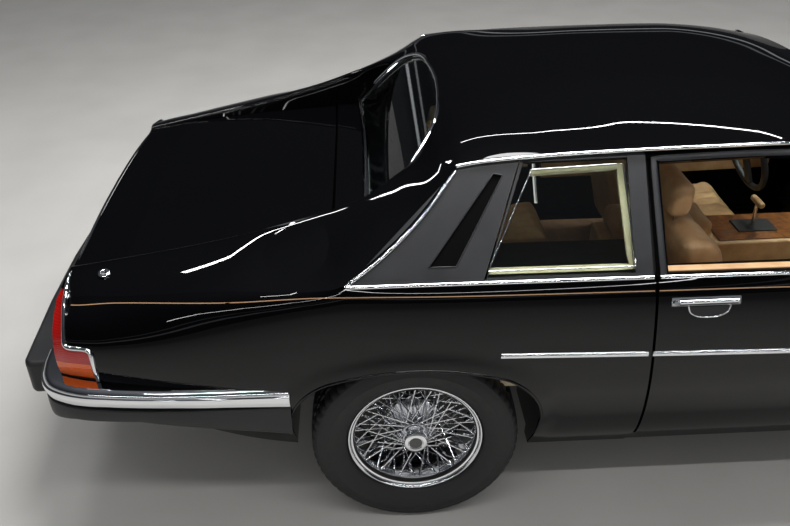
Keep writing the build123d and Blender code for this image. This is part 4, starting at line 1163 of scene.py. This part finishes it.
def makeSpokes():
    points, faces = [], []
    count = wheelSpec["spokes"]
    for i in range(count):
        rimTurn = math.tau * i / count
        crossing = 1 if i % 2 else -1
        outerRow = i % 4 < 2
        lean = wheelSpec["outerLean"] if outerRow else wheelSpec["innerLean"]
        hubSpot = wheelSpec["hubOuter"] if outerRow else wheelSpec["hubInner"]
        rimSpot = wheelSpec["rimInner"] if outerRow else wheelSpec["rimOuter"]
        a = roundAxle(hubSpot, rimTurn + crossing * math.radians(lean))
        b = roundAxle(rimSpot, rimTurn)
        way = (b - a).normalized()
        end = (b + way * 3) * mm
        tube(a * mm, end, wheelSpec["wire"] * mm, 6, points, faces)
        tube((b - way * 13) * mm, end, wheelSpec["nipple"] * mm, 8, points, faces)
    mesh = bpy.data.meshes.new("spokes")
    mesh.from_pydata(points, [], faces)
    smoothMesh(mesh, 50)
    mesh.materials.append(wireChrome)
    return place("spokes", mesh)


def joined(name, pieces):
    for piece in bpy.context.scene.objects:
        piece.select_set(False)
    for piece in pieces:
        piece.select_set(True)
    bpy.context.view_layer.objects.active = pieces[0]
    bpy.ops.object.join()
    pieces[0].name = name
    return pieces[0]


def makeWheel():
    rim = revolved("rim", rimProfile, 120, wireChrome, 30)
    hub = revolved("hub", hubProfile, 72, wireChrome, 30)
    cap = revolved("cap", capProfile, 48, chromePlate, 30)
    disc = revolved("disc", discProfile, 40, capBlack, 30)
    return joined("wire_wheel", [rim, hub, cap, disc, makeSpokes()])


def makeTyre():
    # half outline: (height along the axle, radius, 1 where the tread's cross cuts reach)
    deep = tyreSpec["groove"]
    half = [(h, r, 0) for h, r in tyreWall] + [(103, 308, 1), (98, 312, 1), (92, 315.5, 1)]
    half += [(66, 318, 1), (64, 318 - deep, 0), (58, 318 - deep, 0), (56, 319, 1), (44, 319.5, 1)]
    half += [(32, 319.8, 1), (30, 319.8 - deep, 0), (23, 319.8 - deep, 0), (21, 320, 1), (8, 320, 0)]
    run = half + [(-h, r, cross) for h, r, cross in reversed(half)]
    count = tyreSpec["segments"]
    points, m = [], len(run)
    for i in range(count):
        t = math.tau * i / count
        for k, (h, r, cross) in enumerate(run):
            phase = (i + (2 if k > m // 2 else 0) + (1 if abs(h) < 60 else 0)) % 4
            radius = r - (tyreSpec["sipe"] if cross and phase == 0 else 0)
            points.append((radius * math.cos(t) * mm, radius * math.sin(t) * mm, h * mm))
    mesh = bpy.data.meshes.new("tyre")
    mesh.from_pydata(points, [], ringFaces(count, m, True))
    mesh.materials.append(tyreRubber)
    tyre = place("tyre", mesh)
    turnOut(tyre)
    smoothMesh(mesh, 32)
    return tyre


def placeWheels():
    wheel, tyre = makeWheel(), makeTyre()
    for end, (x, half) in tracks.items():
        for hand, s in hands:
            for source, kind, slotName in ((wheel, "wheel", "wire_chrome"), (tyre, "tyre", "tyre_rubber")):
                piece = place(f"{kind}_dressed_{end}_{hand}", source.data)
                piece.location = toMetres((x, s * half, axleHeight))
                piece.rotation_euler = (math.radians(-90 * s), 0, 0)
                addPart(piece, f"wheel_{end}_{hand}", slotName, f"{kind}_{end}_{hand}")
    bpy.data.objects.remove(wheel)
    bpy.data.objects.remove(tyre)


placeWheels()


# Door handles, the slot in the black finisher and the trim of the side windows

handle = {"z": 823, "plate": (700, 893), "pull": (722, 886), "lock": 711}
bowl = [(750, 808), (868, 808), (862, 792), (845, 782), (809, 777), (773, 782), (756, 792)]
bowlRim = [(750, 809), (756, 792), (773, 781), (809, 776), (845, 781), (862, 792), (868, 809)]


def makeHandle(hand, s):
    body, z = f"door_{hand}", handle["z"]
    bar = [(x, z) for x in np.linspace(*handle["plate"], 24)]
    section = [(-13, -4), (-13, 4), (-10, 7), (10, 7), (13, 4), (13, -4)]
    addStrip(
        f"handle_plate_{hand}", *onSide(bar), section, chrome, s, body, replaced=(f"door_handle_{hand}",),
    )
    inner = [(x, z) for x in np.linspace(*handle["pull"], 20)]
    addStrip(f"handle_pull_{hand}", *onSide(inner, 6), halfRound(13, 6, 2), chrome, s, body)
    section = [(-9, -2), (-9, 2.6), (9, 2.6), (9, -2)]
    addStrip(f"handle_gap_{hand}", *onSide(inner, 5), section, (satinBlack, "chrome"), s, body)
    points = []
    for lift in (2.2, -0.6):
        points += [(x, s * (sideAt(x, low) + lift), low) for x, low in bowl]
    recess = closedPiece(f"handle_recess_{hand}", points, prismFaces(len(bowl)), satinBlack)
    addPart(recess, body, "chrome")
    rim = onSide(curve(bowlRim, 40), 1.5)
    addStrip(f"handle_rim_{hand}", *rim, halfRound(5, 2.5, 2), chrome, s, body)
    x = handle["lock"]
    profile = [(0, 0), (0, 8.5), (4, 8.5), (6, 6.5), (6, 0)]
    lock = revolved(f"handle_lock_{hand}", profile, 24, chromePlate)
    out = Vector(sideNormal(x, z)).normalized()
    out.y *= s
    lock.rotation_euler = out.to_track_quat("Z", "Y").to_euler()
    lock.location = toMetres((x, s * (sideAt(x, z) + 6), z))
    addPart(lock, body, "chrome")


glassOut = (0, 0.78, 0.62)  # the way out of the side windows' plane


def onSidePlane(line, out):
    return [(x, 850 - 0.794 * (z - 888) + out * 0.783, z + out * 0.622) for x, z in line]


# points round a closed outline, with so many steps on each edge
def roundOutline(outline, steps):
    run = []
    for a, c, n in zip(outline, outline[1:] + outline[:1], steps):
        run += [(a[0] + (c[0] - a[0]) * t / n, a[1] + (c[1] - a[1]) * t / n) for t in range(n)]
    return run


def makeSlot(hand, s):
    outline = [(36, 926), (112, 926), (252, 1122), (226, 1126)]
    path = onSidePlane(roundOutline(outline, (4, 12, 4, 12)), -1)
    addStrip(f"finisher_slot_rim_{hand}", path, glassOut, halfRound(4, 1.5, 3), satin, s, closed=True)
    # the slot's floor lies deep in near-black, dull plastic: painted shade for the inside of the recess
    points = [(x, y * s, z) for x, y, z in onSidePlane(outline, -7.4) + onSidePlane(outline, -10)]
    floor = closedPiece(f"finisher_slot_shade_floor_{hand}", points, prismFaces(4), slotShade[0])
    addPart(floor, "body", slotShade[1])


def makeQuarterTrim(hand, s):
    closed = roundOutline([(198, 914), (604, 914), (590, 1140), (333, 1132)], (8, 8, 8, 8))
    path = onSidePlane(closed, 0)
    addStrip(f"quarter_bead_{hand}", path, glassOut, halfRound(4, 2.5, 4), chrome, s, closed=True)
    inside = [(x + (430 - x) * 0.02, z + (1020 - z) * 0.02) for x, z in closed]
    section = [(-9, -4), (-9, 4), (9, 4), (9, -4)]
    addStrip(f"quarter_inner_trim_{hand}", onSidePlane(inside[:25], -30), glassOut, section, cream, s)


# satin frame round the dropped window, a seal behind its shut line and a capping on the door's ledge
def makeDoorFrame(hand, s):
    middle = curve([(680, 892), (678, 1030), (677, 1149)], 12)[:-1]
    middle += curve([(677, 1149), (998, 1155), (1226, 1142), (1392, 1075), (1600, 985), (1806, 893)], 60)
    section = [(-9, -1), (-9, 2), (-7, 3.5), (7, 3.5), (9, 2), (9, -1)]
    addStrip(f"door_frame_{hand}", onSidePlane(middle, -3.7), glassOut, section, satin, s, f"door_{hand}")
    edge = curve([(664, 893), (660, 1030), (658, 1160)], 12)[:-1]
    edge += curve([(658, 1160), (998, 1168), (1226, 1154), (1380, 1096)], 40)
    section = [(-13, -2.5), (-13, 2.5), (13, 2.5), (13, -2.5)]
    addStrip(f"door_seal_{hand}", onSidePlane(edge, -35), glassOut, section, rubber, s)
    ledge = [(700, 880), (1790, 880), (1790, 888), (700, 888)]
    addBlock(f"door_capping_{hand}", ledge, 788, 816, tan, 3, f"door_{hand}", s)


for hand, s in hands:
    makeHandle(hand, s)
    makeDoorFrame(hand, s)
    makeSlot(hand, s)
    makeQuarterTrim(hand, s)
print("wheels, handles and slots made")


# Cabin: padded seats, trim cards, console and headlining

pad = {
    # metres, but the flutes' pitch and the amount a pad is drawn in before it swells are millimetres
    "voxel": 0.0115, "pressure": 4.0, "frames": 20, "cap": 0.014, "shrink": 9, "flute": 58,
    "faceDeep": 0.012, "fluteDeep": 0.006,
}
seatPads = {
    # name: (side outline, from y, to y, the way its fluted face looks)
    "seat_cushion": (
        [(1010, 310), (1496, 340), (1506, 418), (1468, 456), (1075, 424), (1020, 400)],
        176, 658, (-0.06, 0, 1),
    ),
    "seat_back": (
        [(1084, 402), (930, 858), (884, 886), (812, 876), (944, 318), (1010, 318)],
        176, 658, (0.94, 0, 0.33),
    ),
    "seat_headrest": ([(870, 890), (880, 998), (852, 1018), (804, 1014), (794, 884)], 292, 542, None),
    "rear_seat_cushion": (
        [(352, 420), (420, 424), (452, 268), (604, 268), (646, 388), (610, 446), (356, 434)],
        166, 524, (0, 0, 1),
    ),
    "rear_seat_back": (
        [(214, 424), (336, 424), (326, 470), (205, 842), (152, 856), (120, 848)], 6, 524, (0.94, 0, 0.33),
    ),
}
cards = {
    # name: (outline, inner and outer distance from the middle, look, soft edge)
    "door_card": ([(700, 312), (1790, 312), (1800, 560), (1796, 852), (696, 866)], 770, 791, tan, 6),
    "door_armrest": ([(880, 600), (1420, 612), (1500, 660), (1480, 672), (880, 668)], 716, 771, tan, 14),
    "door_veneer": ([(700, 828), (1780, 826), (1780, 850), (700, 854)], 766, 775, wood, 3),
    "quarter_card": ([(120, 480), (640, 480), (640, 872), (190, 872)], 782, 799, cream, 6),
}
middleBlocks = {
    # name: (outline, half width, look, soft edge)
    "console_body": ([(762, 432), (1700, 432), (1700, 560), (1500, 560), (762, 548)], 110, tan, 12),
    "console_slope": ([(1496, 540), (1756, 540), (1756, 696), (1642, 560)], 110, tan, 8),
    "console_veneer": ([(1196, 557), (1560, 561), (1560, 565), (1196, 562)], 98, wood, 1.5),
    "console_gate": ([(1290, 560), (1440, 562), (1440, 570), (1290, 569)], 46, dark, 3),
    "dash_veneer": ([(1634, 724), (1638, 724), (1638, 788), (1634, 788)], 745, wood, 1),
    "cabin_carpet": ([(470, 238), (1850, 238), (1850, 244), (470, 244)], 740, woolPile, 2),
}
selector = (1361, 0)  # x and y of the lever


# an outline drawn in towards its middle by an amount
def shrunk(outline, amount):
    cx = sum(p[0] for p in outline) / len(outline)
    cz = sum(p[1] for p in outline) / len(outline)
    points = []
    for x, z in outline:
        reach = math.hypot(x - cx, z - cz)
        points.append((x - amount * (x - cx) / reach, z - amount * (z - cz) / reach))
    return points


# inflates a pad with cloth pressure and keeps each point near where it began
def swell(piece):
    start = np.array([v.co[:] for v in piece.data.vertices])
    cloth = piece.modifiers.new("cloth", "CLOTH")
    cloth.settings.quality = 4
    cloth.settings.use_pressure = True
    cloth.settings.uniform_pressure_force = pad["pressure"]
    cloth.settings.effector_weights.gravity = 0
    cloth.point_cache.frame_start = 1
    cloth.point_cache.frame_end = pad["frames"]
    scene = bpy.context.scene
    for step in range(1, pad["frames"] + 1):
        scene.frame_set(step)
    applyAll(piece)
    scene.frame_set(1)
    move = np.array([v.co[:] for v in piece.data.vertices]) - start
    far = np.linalg.norm(move, axis=1, keepdims=True)
    move *= np.minimum(1, pad["cap"] / np.maximum(far, 1e-9))
    piece.data.vertices.foreach_set("co", (start + move).ravel())
    piece.data.update()


# sewn channels and raised sides on the face that looks along front, in metres
def flute(piece, front, middle, half):
    front = Vector(front).normalized()
    mesh = piece.data
    normals = [Vector(n.vector) for n in mesh.vertex_normals]
    for vertex, normal in zip(mesh.vertices, normals):
        facing = max(0.0, normal.dot(front)) ** 2
        if facing < 0.2:
            continue
        y = vertex.co.y - middle
        inside = 1 / (1 + math.exp((abs(y) - half * 0.66) / 0.010))
        channel = abs(math.cos(math.pi * y / (pad["flute"] * mm))) ** 14
        drop = inside * (pad["faceDeep"] + pad["fluteDeep"] * channel)
        vertex.co -= normal * facing * drop
    mesh.update()


def makePad(name, outline, y0, y1, front=None, shrink=pad["shrink"], soft=30):
    piece = prismPiece(shrunk(outline, shrink), 1, y0 + shrink, y1 - shrink, tanHide, name)
    bevel(piece, soft * mm, 4).limit_method = "NONE"
    skin = piece.modifiers.new("skin", "REMESH")
    skin.mode = "VOXEL"
    skin.voxel_size = pad["voxel"]
    applyAll(piece)
    swell(piece)
    if front:
        flute(piece, front, (y0 + y1) / 2 * mm, (y1 - y0) / 2 * mm)
    smooth = piece.modifiers.new("smooth", "SMOOTH")
    smooth.factor = 0.5
    smooth.iterations = 2
    fine = piece.modifiers.new("fine", "SUBSURF")
    fine.levels = fine.render_levels = 1
    applyAll(piece)
    piece.data.materials.clear()
    piece.data.materials.append(tanHide)
    piece.data.polygons.foreach_set("use_smooth", [True] * len(piece.data.polygons))
    return piece


def mirrorPad(piece, name):
    mesh = piece.data.copy()
    mesh.transform(Matrix.Scale(-1, 4, (0, 1, 0)))
    mesh.flip_normals()
    return place(name, mesh)


def makeSeats():
    for name, (outline, y0, y1, front) in seatPads.items():
        left = makePad(f"{name}_left", outline, y0, y1, front)
        right = mirrorPad(left, f"{name}_right")
        for hand, piece in (("left", left), ("right", right)):
            node = "rear_seat" if name.startswith("rear") else f"front_seat_{hand}"
            addPart(piece, "body", "tan_leather", node)
    base = [(1045, 237), (1438, 237), (1438, 322), (1045, 300)]
    for hand, s in hands:
        addBlock(f"seat_base_{hand}", base, 225, 590, dark, 8, "body", s)
        for y in (370, 464):
            post = [(0, 0), (0, 6), (46, 6), (46, 0)]
            addTurned(f"headrest_post_{hand}_{y}", post, 16, chrome, (846, s * y, 852))


def makeCards():
    for hand, s in hands:
        for name, (outline, inner, outer, look, soft) in cards.items():
            body = f"door_{hand}" if name.startswith("door") else "body"
            addBlock(f"{name}_{hand}", outline, inner, outer, look, soft, body, s)


def makeConsole():
    for name, (outline, half, look, soft) in middleBlocks.items():
        replaced = ("console",) if name == "console_body" else ()
        addBlock(name, outline, -half, half, look, soft, replaced=replaced)
    stick = [(0, 0), (0, 7), (96, 6), (96, 0)]
    addTurned("selector_stick", stick, 20, chrome, (*selector, 566))
    grip = [(-42, 0), (-42, 8), (-36, 12), (-10, 13), (10, 13), (36, 12), (42, 8), (42, 0)]
    addTurned("selector_grip", grip, 28, tan, (*selector, 668), 90)
    outline = [(790, 552), (1170, 552), (1174, 628), (1160, 636), (796, 636)]
    rest = makePad("centre_armrest", outline, -96, 96, None, 4, 18)
    addPart(rest, "body", "tan_leather")


def makeHeadlining(grid):
    lining = thickSheet("headlining", grid[:, 4:-4], headCloth, -21.0, 27.0, 1, out=(0, 0, 1))
    addPart(lining, "body", "tan_leather")


makeSeats()
makeCards()
makeConsole()
makeHeadlining(roofGrid)
print("cabin made")


# Floor, light and camera

def makeFloor():
    # plain pale polished concrete
    material, tree, surface = newMaterial("concretePaleSealed", {
        "Base Color": srgb("#B8B6B2"), "Roughness": 0.45,
    })
    cloud = pattern(tree, "TexNoise", {"Scale": 2.2, "Detail": 8.0})
    tint(tree, surface, cloud, "#B3B1AD", "#B9B7B3")
    bpy.ops.mesh.primitive_plane_add(size=60)
    floor = bpy.context.object
    floor.name = "floor"
    floor.data.materials.append(material)


lights = {
    # name: (centre, length, width, watts, turn about the upright in degrees, tilt in degrees)
    "tubeTail": ((-3.42, 1.42, 3.8), 0.85, 0.11, 26, 33, 0),
    "tubeRoof": ((0.05, 1.75, 3.8), 3.6, 0.03, 26, -27, 0),
    "tubeSide": ((-1.5, -7.0, 2.6), 11.0, 0.05, 60, 0, 60),
    "tubeHigh": ((-0.5, -2.6, 4.2), 6.0, 0.05, 60, 0, 20),
    "softBank": ((0.2, 0.2, 5.6), 4.0, 1.6, 420, 0, 0),
}
# what mirror-like faces see, by height: a dark wall with two rows of high windows, a paler ceiling
mirroredRoom = [
    (0.0, "#26272A"), (0.052, "#1D1E21"), (0.058, "#C4C7CB"), (0.070, "#C4C7CB"), (0.076, "#1D1E21"),
    (0.112, "#1D1E21"), (0.117, "#8F9296"), (0.124, "#8F9296"), (0.130, "#1D1E21"), (0.2, "#1D1E21"),
    (0.42, "#2A2B2E"), (0.80, "#4A4C50"), (1.0, "#6E7074"),
]
camera = {"place": (-1.318, -2.680, 2.067), "turn": 2.254, "down": 31.097, "roll": -0.771, "focal": 806.1}
photoWidth = 790


def makeLights():
    for name, (centre, long, wide, watts, turn, tilt) in lights.items():
        data = bpy.data.lights.new(name, "AREA")
        data.shape = "RECTANGLE"
        data.size = long
        data.size_y = wide
        data.energy = watts
        lamp = place(name, data)
        lamp.location = centre
        lamp.rotation_euler = (math.radians(tilt), 0, math.radians(turn))


# soft grey room for light, pale grey for the camera
def makeWorld():
    studio = bpy.data.worlds.new("studio")
    bpy.context.scene.world = studio
    studio.use_nodes = True
    tree = studio.node_tree
    tree.nodes.clear()
    room = addNode(tree, "Background", {"Color": srgb("#C9CACC"), "Strength": 0.6})
    space = addNode(tree, "TexCoord")
    height = addNode(tree, "SeparateXYZ", links={"Vector": (space, "Generated")})
    ramp = colourRamp(tree, height, "Z", mirroredRoom)
    wall = addNode(tree, "Background", {"Strength": 1.0}, {"Color": (ramp, "Color")})
    seen = addNode(tree, "Background", {"Color": srgb("#8F9195"), "Strength": 1.0})
    path = addNode(tree, "LightPath")
    lit = addNode(tree, "MixShader", links={
        "Fac": (path, "Is Glossy Ray"), 1: (room, "Background"), 2: (wall, "Background"),
    })
    mix = addNode(tree, "MixShader", links={
        "Fac": (path, "Is Camera Ray"), 1: (lit, "Shader"), 2: (seen, "Background"),
    })
    addNode(tree, "OutputWorld", links={"Surface": (mix, "Shader")})


def makeCamera():
    data = bpy.data.cameras.new("camera")
    data.sensor_width = 36.0
    data.lens = camera["focal"] / photoWidth * data.sensor_width
    cam = place("camera", data)
    cam.location = camera["place"]
    turn = Matrix.Rotation(math.radians(-camera["turn"]), 4, "Z")
    down = Matrix.Rotation(math.radians(90 - camera["down"]), 4, "X")
    roll = Matrix.Rotation(math.radians(camera["roll"]), 4, "Z")
    cam.rotation_euler = (turn @ down @ roll).to_euler()
    bpy.context.scene.camera = cam


makeFloor()
makeLights()
makeWorld()
makeCamera()
bpy.context.scene.view_settings.view_transform = "Standard"
print("floor, lights and camera placed")
